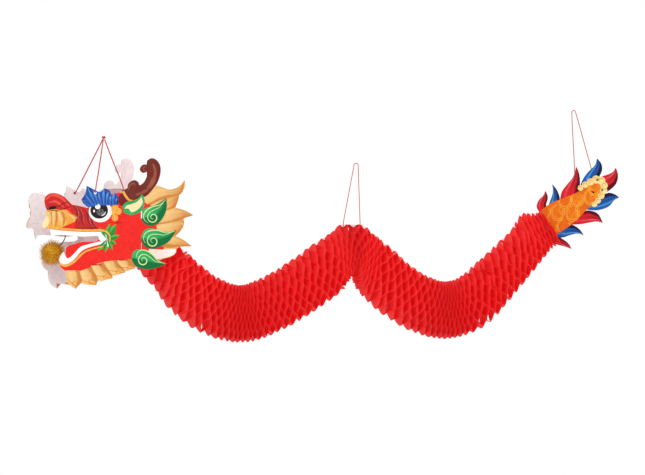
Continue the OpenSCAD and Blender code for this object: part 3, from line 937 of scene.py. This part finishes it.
def make_tissue():
    line = BodyLine()
    sheets = sheet_places(line)
    at = line.station_reach
    mids = [0.0] + [(a + b) / 2 for a, b in zip(at, at[1:])] + [line.length]
    bodies = ["head"] + ["front_%d" % k for k in range(7, 0, -1)] + ["ridge"]
    bodies += ["rear_%d" % k for k in range(1, 8)] + ["tail"]
    joints = ["head_turn"] + FRONT_JOINTS[::-1] + REAR_JOINTS + ["tail_wag"]
    nodes = ["tissue_front_%d" % k for k in range(7, 0, -1)] + ["tissue_middle"]
    nodes += ["tissue_rear_%d" % k for k in range(1, 8)] + [None]
    for k, joint in enumerate(joints):
        tissue_piece("tissue_bend_%d" % (k + 1), line, sheets, mids[k], mids[k + 1],
                     (bodies[k], bodies[k + 1]), joint, nodes[k])


# ---- head -------------------------------------------------------------------------------
# Head outlines are drawn in millimetres about the neck board's centre, snout towards -X
BROW_EYELET = (-120, 117)
HEAD_HALF = 0.078
HEAD_TOE = math.radians(6.4)
CARD = 0.001
NECK = JOINT_AT["head_turn"]

FACE = loop_of([
    [(-214, -48), (-211, -66), (-191, -80), (-160, -84), (-129, -68), (-105, -56), (-54, -54),
     (-26, -47)],
    [(-26, -47), (20, -50), (50, -40), (60, -10), (55, 40), (30, 80), (-10, 110), (-60, 118)],
    [(-60, 118), (-107, 104), (-138, 80)],
    [(-138, 80), (-168, 82), (-185, 92), (-203, 108), (-227, 117), (-246, 111), (-252, 98),
     (-248, 82), (-245, 68), (-248, 48), (-239, 30)],
    [(-239, 30), (-232, 2)],
    [(-232, 2), (-224, 12), (-188, 11), (-149, 8), (-115, 10), (-109, 2)],
    [(-109, 2), (-123, -4), (-151, -5), (-173, -10), (-193, -17), (-197, -30), (-196, -42)],
    [(-196, -42), (-202, -29)],
    [(-202, -29), (-211, -38), (-214, -48)]])
BROW = loop_of([
    [(-133, 78), (-150, 90), (-156, 101)], [(-156, 101), (-146, 116), (-142, 135)],
    [(-142, 135), (-128, 128), (-112, 120)], [(-112, 120), (-104, 121), (-96, 129)],
    [(-96, 129), (-82, 122), (-78, 112)], [(-78, 112), (-72, 112), (-69, 118)],
    [(-69, 118), (-61, 108), (-60, 88)], [(-60, 88), (-107, 80), (-133, 78)]])
HORN = loop_of([
    [(-33, 98), (-42, 112), (-48, 122), (-36, 129)],
    [(-36, 129), (-33, 141), (-20, 149), (-9, 145), (-5, 136)],
    [(-5, 136), (6, 143), (14, 158), (14, 170)],
    [(14, 170), (4, 167), (-4, 176), (3, 187), (14, 188)],
    [(14, 188), (16, 198), (28, 204), (41, 198), (49, 185), (50, 168), (44, 147), (34, 132),
     (10, 108), (-33, 98)]])
EAR = loop_of([
    [(-50, 83), (-38, 95), (-14, 100), (2, 114)],
    [(2, 114), (8, 100), (5, 80), (-6, 68), (-26, 62), (-44, 68), (-50, 83)]])
MANE = loop_of([
    [(20, 120), (37, 136), (71, 126), (88, 128), (101, 135), (113, 149)],
    [(113, 149), (115, 136), (109, 123), (99, 112)],
    [(99, 112), (96, 98), (87, 77)], [(87, 77), (110, 75), (136, 62)],
    [(136, 62), (122, 57), (112, 56), (111, 40), (105, 26), (90, 10)],
    [(90, 10), (112, -1), (132, -16)], [(132, -16), (108, -15), (91, -22)],
    [(91, -22), (84, -38), (60, -46), (20, -50), (0, 40), (20, 120)]])
WHISKER = loop_of([
    [(-195, 75), (-242, 75), (-246, 60), (-256, 36), (-252, 29), (-238, 31)],
    [(-238, 31), (-216, 28), (-200, 34), (-172, 46)], [(-172, 46), (-180, 62), (-195, 75)]])
BEARD_LOBES = [
    ([(-196, -76), (-195, -96), (-188, -110), (-171, -122)],
     [(-160, -76), (-150, -96), (-160, -110), (-171, -122)]),
    ([(-166, -80), (-164, -98), (-150, -110), (-118, -113)],
     [(-126, -66), (-112, -84), (-114, -102), (-118, -113)]),
    ([(-134, -66), (-130, -86), (-112, -102), (-75, -95)],
     [(-98, -54), (-80, -70), (-76, -86), (-75, -95)]),
    ([(-102, -55), (-98, -74), (-80, -90), (-42, -80)],
     [(-62, -50), (-48, -60), (-42, -72), (-42, -80)]),
    ([(-70, -52), (-66, -66), (-50, -79), (-16, -70)],
     [(-26, -46), (-18, -54), (-14, -64), (-16, -70)])]
MANE_LOCKS = [
    ([(4, 100), (37, 134), (71, 125), (101, 134), (113, 149)],
     [(20, 84), (60, 100), (99, 112), (109, 123), (113, 149)]),
    ([(14, 84), (60, 104), (84, 110), (99, 112)],
     [(34, 62), (64, 66), (87, 77), (99, 112)]),
    ([(30, 66), (70, 82), (106, 76), (136, 62)],
     [(50, 34), (84, 36), (112, 54), (136, 62)]),
    ([(40, 40), (84, 50), (111, 48), (109, 32)],
     [(40, 10), (70, 8), (92, 12), (109, 32)]),
    ([(40, 20), (78, 12), (108, 0), (132, -16)],
     [(36, -14), (70, -20), (102, -17), (132, -16)])]
# Leaves behind the cheek: upper edge, lower edge, centre of the swirl and tip
LEAVES = [
    ([(-2, 58), (1, 72), (15, 81), (36, 87), (53, 96), (65, 105)],
     [(-2, 58), (6, 42), (24, 35), (44, 42), (58, 58), (66, 80), (65, 105)], (30, 56), (65, 105)),
    ([(-2, 5), (10, 26), (33, 28), (60, 20), (78, 20), (91, 25)],
     [(-2, 5), (8, -16), (30, -23), (54, -14), (74, -2), (91, 25)], (30, -3), (91, 25)),
    ([(-26, -46), (-22, -31), (-8, -23), (11, -27), (32, -41), (45, -51), (67, -59)],
     [(-26, -46), (-14, -66), (10, -73), (36, -71), (67, -59)], (5, -51), (67, -59))]
MOUTH_TOP = [(-238, 27), (-203, 23), (-150, 20), (-107, 20), (-94, 14), (-88, 2), (-86, -18),
             (-97, -7), (-109, 0), (-115, 10), (-149, 8), (-188, 11), (-224, 12), (-232, 2),
             (-238, 27)]
MOUTH_LOW = [(-202, -29), (-212, -42), (-212, -56), (-196, -61), (-175, -49), (-156, -28),
             (-134, -18), (-107, -11), (-92, -4), (-109, -4), (-138, -11), (-158, -17),
             (-174, -33), (-188, -45), (-196, -43), (-202, -29)]
FRINGE_TIPS = [(-110, 31), (-82, 41), (-65, 40), (-56, 11), (-64, -11), (-75, -26), (-94, -31),
               (-114, -27)]
FRINGE_ROOT = (-90, 2)
FRINGE_BOW = 0.22


def head_place(side):
    """Turns (along the panel, up, out of its face) into a point; side is -1 near, 1 far."""
    yaw = Matrix.Rotation(NECK_YAW, 3, "Z")
    toe = Matrix.Rotation(-HEAD_TOE, 3, "Z")

    def place(u, v, out):
        p = toe @ Vector((u, -CARD - out, v)) + Vector((0, -HEAD_HALF, 0))
        if side > 0:
            p.y = -p.y
        return NECK + yaw @ p
    return place


def upright(u0, u1, v0, v1):
    """The outline of an upright rectangle."""
    return [(u0, v0), (u1, v0), (u1, v1), (u0, v1)]


def leaf_lines(centre, tip):
    """The two pale lines of a leaf: one round its shoulder, one into the swirl."""
    base, ahead = Vector(centre), Vector(tip) - Vector(centre)
    side = Vector((-ahead.y, ahead.x))
    shoulder = [(0.92, -0.02), (0.6, 0.06), (0.38, 0.25), (0.14, 0.38), (-0.12, 0.40),
                (-0.29, 0.26), (-0.31, 0.05)]
    swirl = [(0.8, 0.0), (0.5, 0.02), (0.28, 0.15)]
    for k in range(15):
        angle = math.radians(72 + 38 * k)
        radius = 0.25 - 0.2 * k / 14
        swirl.append((radius * math.cos(angle), radius * math.sin(angle)))
    return [[base + ahead * a + side * b for a, b in line] for line in (shoulder, swirl)]


def fringe_edge(x, y, bow):
    """From the fringe's root to one of its tips, bowed to one side."""
    u, v = FRINGE_ROOT
    return [FRINGE_ROOT, ((x + u) / 2 - (y - v) * bow, (y + v) / 2 + (x - u) * bow), (x, y)]


def draw_mane_and_beard(drawn):
    drawn("mane_ground", PAINT["mane_ground"], ("plate", MANE, 0.15))
    drawn("mane_locks", PAINT["mane"],
          *[("blade", a, b, 0.25 + 0.05 * k, 0.35) for k, (a, b) in enumerate(MANE_LOCKS)])
    drawn("mane_pale", PAINT["pale"], ("blade", [(20, -22), (50, -24), (91, -23)],
                                       [(16, -46), (50, -47), (86, -36), (91, -23)], 0.5, 0.2))
    drawn("beard", PAINT["beard"],
          *[("blade", a, b, 0.55 - 0.08 * k, 0.5) for k, (a, b) in enumerate(BEARD_LOBES)])
    curls = []
    for k, (a, b) in enumerate(BEARD_LOBES):
        tip, low = Vector(a[-1]), (Vector(a[-2]) + Vector(b[-2])) / 2
        high = (Vector(a[0]) + Vector(b[0])) / 2 * 0.35 + (Vector(a[1]) + Vector(b[1])) / 2 * 0.65
        ring = [low + Vector((math.cos(t), math.sin(t))) * (9 - 1.3 * t)
                for t in (0.4, 1.4, 2.4, 3.4, 4.4, 5.4)]
        curls.append(("ribbon", [high] + ring, 1.5, 1.25 - 0.08 * k))
        curls.append(("ribbon", [tip, low * 0.6 + tip * 0.4, a[1]], 2.2, 1.15 - 0.08 * k))
    drawn("beard_curls", PAINT["curl_line"], *curls)


def draw_face_and_horn(drawn):
    drawn("face", PAINT["face"], ("plate", FACE, 0.5))
    drawn("horn", PAINT["horn"], ("plate", HORN, 0.8))
    drawn("horn_light", PAINT["horn_light"],
          ("ribbon", [(-14, 112), (12, 124), (30, 146), (36, 170), (30, 190)], 12, 1.0),
          ("ribbon", [(-34, 124), (-28, 138), (-18, 140), (-16, 132)], 4, 1.0),
          ("ribbon", [(14, 172), (6, 174), (6, 182), (13, 180)], 4, 1.0))
    drawn("horn_dark", PAINT["maroon"],
          ("ribbon", [(-20, 102), (10, 112), (32, 134), (44, 160), (46, 184), (34, 198)], 5, 1.05),
          ("plate", loop_of([[(-60, 94), (-59, 108), (-47, 119)], [(-47, 119), (-30, 100)],
                             [(-30, 100), (-50, 85), (-60, 94)]]), 0.85))
    drawn("horn_band", PAINT["gold"],
          ("ribbon", [(-48, 121), (-42, 111), (-33, 100), (-24, 98)], 6, 1.1, (1, 1, 0.6)))


def draw_brow_and_ear(drawn):
    drawn("brow", PAINT["brow_ground"], ("plate", BROW, 0.8))
    tufts = [((-128, 82), (-155, 100)), ((-122, 84), (-149, 117)), ((-116, 86), (-141, 133)),
             ((-108, 86), (-126, 126)), ((-102, 86), (-111, 118)), ((-95, 86), (-97, 127)),
             ((-88, 86), (-86, 121)), ((-80, 87), (-79, 110)), ((-72, 88), (-70, 117)),
             ((-67, 88), (-63, 104))]
    blades, strokes = [], []
    for k, ((x0, y0), (x1, y1)) in enumerate(tufts):
        mx, my = 0.55 * x0 + 0.45 * x1, 0.42 * y0 + 0.58 * y1
        blades.append(("blade", [(x0 - 6, y0), (mx - 7, my), (x1, y1)],
                       [(x0 + 5, y0), (mx + 4, my - 2), (x1, y1)], 0.95 + 0.06 * (k % 3), 0.5))
        strokes.append(("ribbon", [(x0 + 3, y0), (mx + 2.5, my - 2), (x1 + 0.5, y1 - 4)],
                        1.7, 1.6))
    drawn("brow_tufts", PAINT["brow"], *blades)
    drawn("brow_strokes", PAINT["brow_dark"], *strokes)
    drawn("brow_eyelet", PAINT["white"], ("plate", oval(BROW_EYELET, 3.4, 3.4, 20), 1.7))
    drawn("ear", PAINT["ear"], ("plate", EAR, 1.2))
    drawn("ear_inside", PAINT["cream"],
          ("plate", loop_of([[(-38, 86), (-13, 94), (0, 107)],
                             [(0, 107), (3, 92), (-8, 77), (-25, 69), (-34, 78), (-44, 78),
                              (-38, 86)]]), 1.35))


def draw_leaves_and_fringe(drawn):
    drawn("leaves", PAINT["leaf"],
          *[("blade", up, low, 1.2 + 0.1 * k, 0.5) for k, (up, low, _, _) in enumerate(LEAVES)])
    drawn("leaf_lines", PAINT["leaf_line"],
          *[("ribbon", [tuple(p) for p in line], 3.0, 1.75 + 0.1 * k)
            for k, (_, _, centre, tip) in enumerate(LEAVES) for line in leaf_lines(centre, tip)])
    drawn("fringe", PAINT["fringe"],
          *[("blade", fringe_edge(x, y, FRINGE_BOW), fringe_edge(x, y, -FRINGE_BOW), 0.65, 0.3)
            for x, y in FRINGE_TIPS])


def draw_mouth_and_nose(drawn):
    drawn("mouth", PAINT["white"],
          ("plate", smooth(MOUTH_TOP, 3)[:-1], 0.9), ("plate", smooth(MOUTH_LOW, 3)[:-1], 0.9))
    drawn("lips", PAINT["gold"],
          ("ribbon", [(-240, 31), (-203, 27), (-150, 24), (-107, 24), (-89, 19), (-82, 8),
                      (-83, -4)], 5, 1.1, (1, 1, 0.6)),
          ("ribbon", [(-213, -58), (-198, -65), (-176, -55), (-152, -33), (-132, -24),
                      (-100, -16)], 5, 1.1, (1, 1, 0.6)))
    drawn("muzzle", PAINT["nose"],
          ("plate", loop_of([[(-190, 90), (-140, 79), (-135, 66), (-120, 40), (-108, 28)],
                             [(-108, 28), (-170, 28), (-172, 46), (-190, 90)]]), 0.6),
          ("plate", loop_of([[(-251, 104), (-240, 115), (-221, 116), (-202, 108), (-186, 92),
                              (-178, 80)], [(-178, 80), (-216, 75), (-238, 76), (-251, 104)]]),
           0.65))
    drawn("nose_rolls", PAINT["nose_light"],
          ("ribbon", [(-248, 100), (-236, 111), (-218, 110), (-200, 98), (-188, 84)], 9, 0.85),
          ("ribbon", [(-242, 92), (-226, 96), (-210, 88), (-200, 80)], 7, 0.85))
    wrinkles = [[(-178, 86), (-169, 76), (-167, 58), (-169, 42)],
                [(-165, 80), (-156, 64), (-154, 46), (-146, 31)],
                [(-151, 79), (-140, 64), (-138, 46), (-127, 30)],
                [(-137, 77), (-130, 56), (-126, 40), (-116, 30)],
                [(-168, 29), (-145, 28), (-118, 31)]]
    drawn("wrinkles", PAINT["maroon"], *[("ribbon", line, 3.6, 0.8) for line in wrinkles])
    drawn("wrinkle_lights", PAINT["fold"],
          *[("ribbon", [(x + 3.4, y) for x, y in line], 2.2, 0.85) for line in wrinkles[:4]])
    drawn("nose_contour", PAINT["maroon"],
          ("ribbon", [(-251, 98), (-246, 78), (-228, 73), (-206, 76), (-184, 84)], 3.2, 0.95),
          ("ribbon", [(-186, 94), (-200, 92), (-214, 84), (-222, 84)], 2.6, 0.95))


def draw_slots_and_whisker(drawn):
    # Painted shade: dark plates over the slots stand for the shade inside the slot openings
    drawn("slots", PAINT["slot"],
          *[("plate", upright(u0 - 0.8, u1 + 0.8, v - 1.3, v + 1.3), 1.5)
            for u0, u1, v in ((-150, -118, 28), (-65.5, -44, 43), (-126, -104.5, -62),
                              (-57.5, -37, -50))])
    drawn("crown_slot", PAINT["horn"], ("plate", upright(-13.5, 13.5, 126.4, 129.6), 1.5))
    drawn("tab_edge", PAINT["white"], ("plate", upright(-1.2, 1.2, 53, 72), 1.95))
    drawn("whisker", PAINT["whisker_ground"], ("plate", WHISKER, 1.0))
    lobes = [((-240, 70), (-236, 36)), ((-226, 72), (-226, 28)), ((-212, 70), (-206, 30)),
             ((-196, 68), (-174, 46))]
    drawn("whisker_lobes", PAINT["beard"],
          *[("blade", [(a[0] - 8, a[1]), (b[0] - 9, (a[1] + b[1]) / 2), b],
             [(a[0] + 8, a[1]), (b[0] + 8, (a[1] + b[1]) / 2), b], 1.1 + 0.05 * k, 0.5)
            for k, (a, b) in enumerate(lobes)])
    curl = [(-197 + (9 - 0.7 * k) * math.cos(0.7 * k), 58 + (9 - 0.7 * k) * math.sin(0.7 * k))
            for k in range(12)]
    drawn("whisker_curl", PAINT["curl_line"], ("ribbon", curl, 1.6, 1.8))
    drawn("tusk", PAINT["cream"],
          ("blade", [(-246, 60), (-256, 44), (-258, 32)], [(-240, 48), (-244, 34), (-254, 29)],
           1.2, 0.6))


def draw_eye(drawn):
    drawn("eye_white", PAINT["white"], ("plate", oval((-107, 71), 30, 27), 1.0))
    drawn("eye_black", PAINT["black"], ("plate", oval((-110, 73.5), 23, 20.5), 1.15),
          ("plate", oval((-231, 80), 10, 4.2, 24, 0.15), 1.2))
    drawn("eye_glow", PAINT["iris"], ("plate", oval((-107, 69), 9.5, 9, 30), 1.3))
    drawn("eye_glints", PAINT["white"], ("plate", oval((-114, 83), 7, 6.4, 30), 1.45),
          ("plate", oval((-123.5, 72), 2.4, 3.4, 20), 1.45),
          ("ribbon", [(-104, 60), (-97, 64), (-93, 71)], 3, 1.45))
    curls = [(-75, 70, 8), (-69, 82, 9), (-60, 71, 8.5), (-69, 55, 8.5)]
    drawn("eye_curls", PAINT["gold"],
          *[("plate", oval((x, y), r, r, 24), 0.75 + 0.05 * k)
            for k, (x, y, r) in enumerate(curls)])
    drawn("eye_curl_lines", PAINT["curl_line"],
          *[("ribbon", [(x + r * 0.62 * math.cos(a), y + r * 0.62 * math.sin(a))
                        for a in (0.5, 1.5, 2.5, 3.5, 4.5)], 1.4, 1.0) for x, y, r in curls])


def make_head_side(side, prefix):
    place = head_place(side)

    def drawn(name, material, *shapes):
        """shapes are (kind, values): plate, blade or ribbon of Print."""
        made = Print(place)
        for kind, *values in shapes:
            getattr(made, kind)(*values)
        return made.build(prefix + name, material, "head", "printed_card")

    for draw in (draw_mane_and_beard, draw_face_and_horn, draw_brow_and_ear,
                 draw_leaves_and_fringe, draw_mouth_and_nose,
                 draw_slots_and_whisker, draw_eye):
        draw(drawn)


# ---- pearl ------------------------------------------------------------------------------
PEARL_CORE = 0.025
BRISTLE_TIP = 0.0375
BRISTLE_W = 0.0004
BRISTLES = 1300


def make_pearl():
    low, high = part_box("pearl_ball")
    centre = (low + high) / 2
    dice = random.Random(11)
    made = bmesh.new()
    bmesh.ops.create_icosphere(made, subdivisions=5, radius=PEARL_CORE)
    for v in made.verts:
        d = v.co.normalized()
        lump = math.sin(41 * d.x + 9 * d.z) * math.sin(37 * d.y) * math.sin(43 * d.z)
        v.co = centre + d * PEARL_CORE * (1 + 0.05 * lump)
    for _ in range(BRISTLES):
        out = Vector((dice.gauss(0, 1), dice.gauss(0, 1), dice.gauss(0, 1))).normalized()
        side = out.orthogonal().normalized()
        side.rotate(Matrix.Rotation(dice.uniform(0, math.tau), 3, out))
        lean = out + side.cross(out) * dice.uniform(-0.3, 0.3)
        reach = PEARL_CORE + (BRISTLE_TIP - PEARL_CORE) * dice.uniform(0.25, 1.0)
        root, tip = centre + out * PEARL_CORE * 0.9, centre + lean.normalized() * reach
        corners = [made.verts.new(root - side * BRISTLE_W),
                   made.verts.new(root + side * BRISTLE_W),
                   made.verts.new(tip + side * BRISTLE_W * 0.4),
                   made.verts.new(tip - side * BRISTLE_W * 0.4)]
        made.faces.new(corners)
    mesh = bpy.data.meshes.new("pearl_tinsel")
    made.to_mesh(mesh)
    made.free()
    piece = finish_object("pearl_tinsel", mesh, PAINT["tinsel"], "pearl")
    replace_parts(piece, "pearl_ball")


# ---- tail -------------------------------------------------------------------------------
# Tail outlines are drawn in millimetres about the tail's root
# Flames: lit edge, then shaded edge, each from root to tip
FLAMES = [
    ([(-14, 40), (-24, 56), (-18, 74), (-7, 85), (-2, 97)],
     [(4, 50), (0, 62), (4, 76), (3, 87), (-2, 97)]),
    ([(4, 56), (11, 74), (16, 88), (17, 101), (15, 114)],
     [(34, 64), (34, 80), (28, 97), (21, 107), (15, 114)]),
    ([(34, 64), (38, 92), (52, 112), (68, 132), (75, 158)],
     [(82, 80), (84, 102), (85, 120), (82, 142), (75, 158)]),
    ([(80, 88), (90, 122), (106, 145), (122, 160), (127, 178)],
     [(118, 98), (132, 130), (140, 148), (138, 165), (127, 178)]),
    ([(112, 100), (138, 131), (153, 137), (167, 144), (174, 155)],
     [(120, 74), (157, 97), (175, 114), (180, 136), (174, 155)]),
    ([(98, 50), (128, 48), (156, 57), (170, 73), (183, 80)],
     [(112, 76), (138, 84), (156, 92), (172, 88), (183, 80)]),
    ([(56, 12), (84, 13), (106, 17), (127, 20), (142, 16)],
     [(80, 46), (97, 47), (113, 47), (131, 38), (142, 16)]),
    ([(18, -20), (42, -20), (60, -14), (80, -10), (94, -15)],
     [(36, 14), (57, 14), (72, 9), (86, -2), (94, -15)]),
    ([(12, -34), (24, -37), (36, -40), (48, -43), (64, -49)],
     [(16, -10), (31, -18), (43, -25), (56, -35), (64, -49)])]
ROOT = [(-22, 40), (22, -37), (40, -18), (6, 56)]
SCALE_EDGE = loop_of([
    [(-16, 40), (9, 64), (34, 75), (69, 89), (93, 103), (118, 122)],
    [(118, 122), (132, 120), (140, 106), (138, 88), (123, 66)],
    [(123, 66), (106, 54), (83, 30), (59, 9), (34, -8), (23, -16)],
    [(23, -16), (6, 12), (-16, 40)]])
SCALES = [(-6, 44), (11, 4), (29, 43), (44, 8), (47, 74), (66, 41), (79, 77), (91, 50), (112, 82),
          (122, 106)]
SCALLOPS = [(86, 104, 7), (98, 112, 8), (111, 119, 9), (125, 125, 10), (138, 122, 10),
            (145, 110, 9), (144, 97, 9), (138, 84, 8), (130, 72, 7), (121, 63, 7)]
TAIL = JOINT_AT["tail_wag"]


def tail_place(side, layer):
    """Turns (along X, up, out of the board) into a point on a layer of the tail."""
    def place(u, v, out):
        return Vector((TAIL.x + u, side * (layer * CARD + CARD / 2 + out), TAIL.z + v))
    return place


def inside(point, outline):
    hit = False
    for a, b in zip(outline, outline[1:] + outline[:1]):
        if (a[1] > point[1]) != (b[1] > point[1]):
            if point[0] < (b[0] - a[0]) * (point[1] - a[1]) / (b[1] - a[1]) + a[0]:
                hit = not hit
    return hit


def inner_runs(line, outline):
    """The stretches of a line that lie inside an outline."""
    runs, run = [], []
    for p in line:
        if inside(p, outline):
            run.append(p)
        elif run:
            runs.append(run)
            run = []
    return [r for r in runs + [run] if len(r) > 3]


def make_tail_side(side, prefix):
    def build(made, name, paint, slot):
        return made.build(prefix + name, PAINT[paint], "tail", slot)

    for paint, first in (("flame_red", 0), ("flame_blue", 1)):
        made = Print(tail_place(side, 0), base=-CARD / MM / 2)
        if first == 0:
            made.plate(ROOT, 0.0)
        for lit, shaded in FLAMES[first::2]:
            made.blade(lit, shaded, 0.1, 0.5)
        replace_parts(build(made, paint, paint, "flame_card"), "tail_flame_board")
    pens = {paint: Print(tail_place(side, 0))
            for paint in ("flame_light", "flame_sky", "flame_dark")}
    for k, (lit, shaded) in enumerate(FLAMES):
        bright = "flame_sky" if k % 2 else "flame_light"
        for share, paint, width in ((0.25, bright, 1.4), (0.5, "flame_dark", 1.3),
                                    (0.36, "flame_dark", 1.0)):
            line = [Vector(a).lerp(Vector(b), share) for a, b in zip(lit, shaded)]
            pens[paint].ribbon(line[1:4] + [line[3].lerp(line[4], 0.6)], width, 0.6)
    for paint, pen in pens.items():
        build(pen, paint + "_strokes", paint, "flame_card")
    made = Print(tail_place(side, 1))
    made.plate(SCALE_EDGE, 0.15)
    build(made, "scale_ground", "scale_ground", "scale_card")
    rims, hearts = Print(tail_place(side, 1)), Print(tail_place(side, 1))
    for k, (x, y) in enumerate(SCALES):
        ring = oval((x, y), 17, 21, 48, math.radians(-8))
        arc = ring[14:] + ring[:6]
        arcs = [arc, [(x + (p[0] - x) * 0.8, y + (p[1] - y) * 0.8) for p in arc]]
        for run in inner_runs(arcs[0], SCALE_EDGE) + inner_runs(arcs[1], SCALE_EDGE):
            rims.ribbon(run, 1.5, 0.55, (1, 1, 1), 0.25, 1)
        heart = oval((x + 0.5, y - 1), 12.5, 15, 30, math.radians(-8))
        if all(inside(p, SCALE_EDGE) for p in heart):
            hearts.plate(heart, 0.3)
    build(rims, "scale_rims", "scale_rim", "scale_card")
    build(hearts, "scale_hearts", "scale_heart", "scale_card")
    trim, dots = Print(tail_place(side, 2)), Print(tail_place(side, 2))
    for x, y, r in SCALLOPS:
        arc = [(x + 0.6 * r * math.cos(a), y + 0.6 * r * math.sin(a))
               for a in (0.2, 1.2, 2.2, 3.2, 4.2)]
        trim.ribbon(arc, 1.6, 0.2)
    for x, y in ((128, 124), (140, 99)):
        dots.plate(oval((x, y), 3, 3, 20), 0.5)
    build(trim, "trim_lines", "curl_line", "cream_card")
    build(dots, "trim_dots", "fringe_flat", "cream_card")


# ---- the CAD pieces that stay -----------------------------------------------------------
def paint_node(node, material):
    piece = frame["nodes"][node]
    piece.data.materials.clear()
    piece.data.materials.append(material)


def paint_frame():
    inner = PAINT["card_back"]
    for node in ("near_head_panel", "far_head_panel", "neck_board", "snout_shelf", "cheek_shelf",
                 "jaw_shelf_front", "jaw_shelf_rear", "crown_shelf"):
        paint_node(node, inner)
    paint_node("pearl_stem", PAINT["wire"])
    paint_node("ridge_strip", PAINT["red_card"])
    paint_node("tail_end_board", PAINT["red_card"])
    for node in ("near_scale_board", "far_scale_board"):
        paint_node(node, PAINT["scale_ground"])
    for node in ("near_tip_trim", "far_tip_trim"):
        paint_node(node, PAINT["trim"])


# Flat prints: name, colour, deeper tone, then its amount, fibre scale and gloss where set
FLAT_PRINTS = {
    "mane_ground": ("mane_ground", MANE_LIGHT, MANE_TIP, 0.5),
    "face": ("face_print", FACE_RED, FACE_RED_DEEP, 0.6),
    "horn": ("horn_print", HORN_BROWN, MAROON, 0.6, 500),
    "horn_light": ("horn_light_print", HORN_LIGHT, HORN_BROWN, 0.6, 500),
    # Painted shade for the slot openings
    "slot": ("slot_shadow", FACE_RED_DEEP, MAROON, 0.9),
    "maroon": ("maroon_print", MAROON, HORN_BROWN),
    "gold": ("gold_print", GOLD, ORANGE, 0.5),
    "brow_ground": ("brow_ground", BROW_BLUE, BROW_DARK, 0.8),
    "brow_dark": ("brow_dark_print", BROW_DARK, BLACK, 0.3),
    "ear": ("ear_print", LEAF_LIGHT, LEAF_DARK, 0.4),
    "cream": ("cream_print", CREAM, GOLD_PALE, 0.4),
    "leaf_line": ("leaf_line_print", LEAF_LINE, GOLD_PALE, 0.3),
    "fringe_flat": ("fringe_flat_print", FRINGE_DEEP, LEAF_DARK),
    "white": ("white_print", WHITE, CARD_BACK, 0.3),
    "nose": ("nose_print", NOSE_RED, MAROON, 0.35),
    "nose_light": ("nose_light_print", NOSE_LIGHT, FACE_RED_DEEP, 0.4),
    "fold": ("fold_print", FOLD_PINK, MAROON, 0.3),
    "whisker_ground": ("whisker_ground", GOLD, ORANGE, 0.7),
    "curl_line": ("curl_line_print", ORANGE, HORN_LIGHT, 0.3),
    "black": ("black_print", BLACK, MAROON, 0.1, 900.0, 0.2),
    "iris": ("iris_print", IRIS_GREY, BLACK, 1.0, 2500, 0.2),
    "scale_ground": ("scale_ground", SCALE_ORANGE, SCALE_DEEP, 0.6),
    "scale_rim": ("scale_rim_print", SCALE_YELLOW, GOLD, 0.4),
    "scale_heart": ("scale_heart_print", SCALE_ORANGE, SCALE_YELLOW, 0.45, 1800),
    "flame_sky": ("flame_sky_print", BROW_SKY, FLAME_BLUE, 0.6),
    "flame_dark": ("flame_dark_print", FLAME_BLUE_DARK, BLACK, 0.5),
    "flame_light": ("flame_light_print", FLAME_LIGHT, FLAME_RED, 0.8),
    "trim": ("trim_print", GOLD_PALE, GOLD, 0.5),
}


def mix_paints():
    paints = {key: flat_print(*row) for key, row in FLAT_PRINTS.items()}
    paints.update({
        "mane": brushed("mane_print", MANE_LIGHT, MANE_TIP, MANE_TIP, GOLD_PALE,
                        0.5, 0.3, 11, 0.55),
        "pale": brushed("pale_print", PALE_PINK, WHITE, FOLD_PINK, WHITE, 2.0, 0.0, 5, 0.3),
        "beard": brushed("beard_print", MANE_LIGHT, GOLD, MANE_TIP, GOLD_PALE, 0.35, 0.4, 5, 0.5),
        "brow": brushed("brow_print", BROW_BLUE, BROW_SKY, BROW_DARK, BROW_SKY, 0.6, 0.6, 3, 0.4),
        "leaf": brushed("leaf_print", LEAF_LIGHT, LEAF_DARK, LEAF_DARK, LEAF_LIGHT, 0.1, 0.2, 1,
                        0.0),
        "fringe": brushed("fringe_print", FRINGE_DEEP, FRINGE, FRINGE_DEEP, LEAF_LINE, 0.3, 0.3,
                          2, 0.3),
        "flame_red": brushed("flame_red_print", FLAME_RED, FLAME_RED, FLAME_RED_DARK, FLAME_PINK,
                             0.55, 0.3, 3, 0.5),
        "flame_blue": brushed("flame_blue_print", FLAME_BLUE, FLAME_BLUE, FLAME_BLUE_DARK,
                              BROW_SKY, 0.5, 0.5, 3, 0.5),
        "card_back": card_stock("card_back", CARD_BACK, CARD_BACK_DEEP),
        "red_card": card_stock("red_card", TISSUE_RED, TISSUE_DEEP_AND_SHADE),
        "tinsel": metal_foil("tinsel_foil", TINSEL, TINSEL_SHADE, 0.15),
        "wire": metal_foil("twisted_wire", WIRE_BRONZE, WIRE_SHADE, 0.3),
    })
    return paints


def make_floor():
    made = bmesh.new()
    bmesh.ops.create_grid(made, x_segments=8, y_segments=8, size=FLOOR_HALF)
    for v in made.verts:
        v.co.z = FLOOR_Z
    mesh = bpy.data.meshes.new("floor")
    made.to_mesh(mesh)
    made.free()
    floor = bpy.data.objects.new("floor", mesh)
    bpy.context.scene.collection.objects.link(floor)
    mesh.materials.append(card_stock("studio_floor", FLOOR_PALE, WHITE))


FIBRES = make_fibre_group()
BRUSH = make_stroke_group()
CORD = twisted_cord()
TISSUE = tissue_paper()
PAINT = mix_paints()

make_stage()
make_cords()
make_floor()
make_tissue()
for side, prefix in ((-1, "near_"), (1, "far_")):
    make_head_side(side, prefix)
    make_tail_side(side, prefix + "tail_")
make_pearl()
paint_frame()
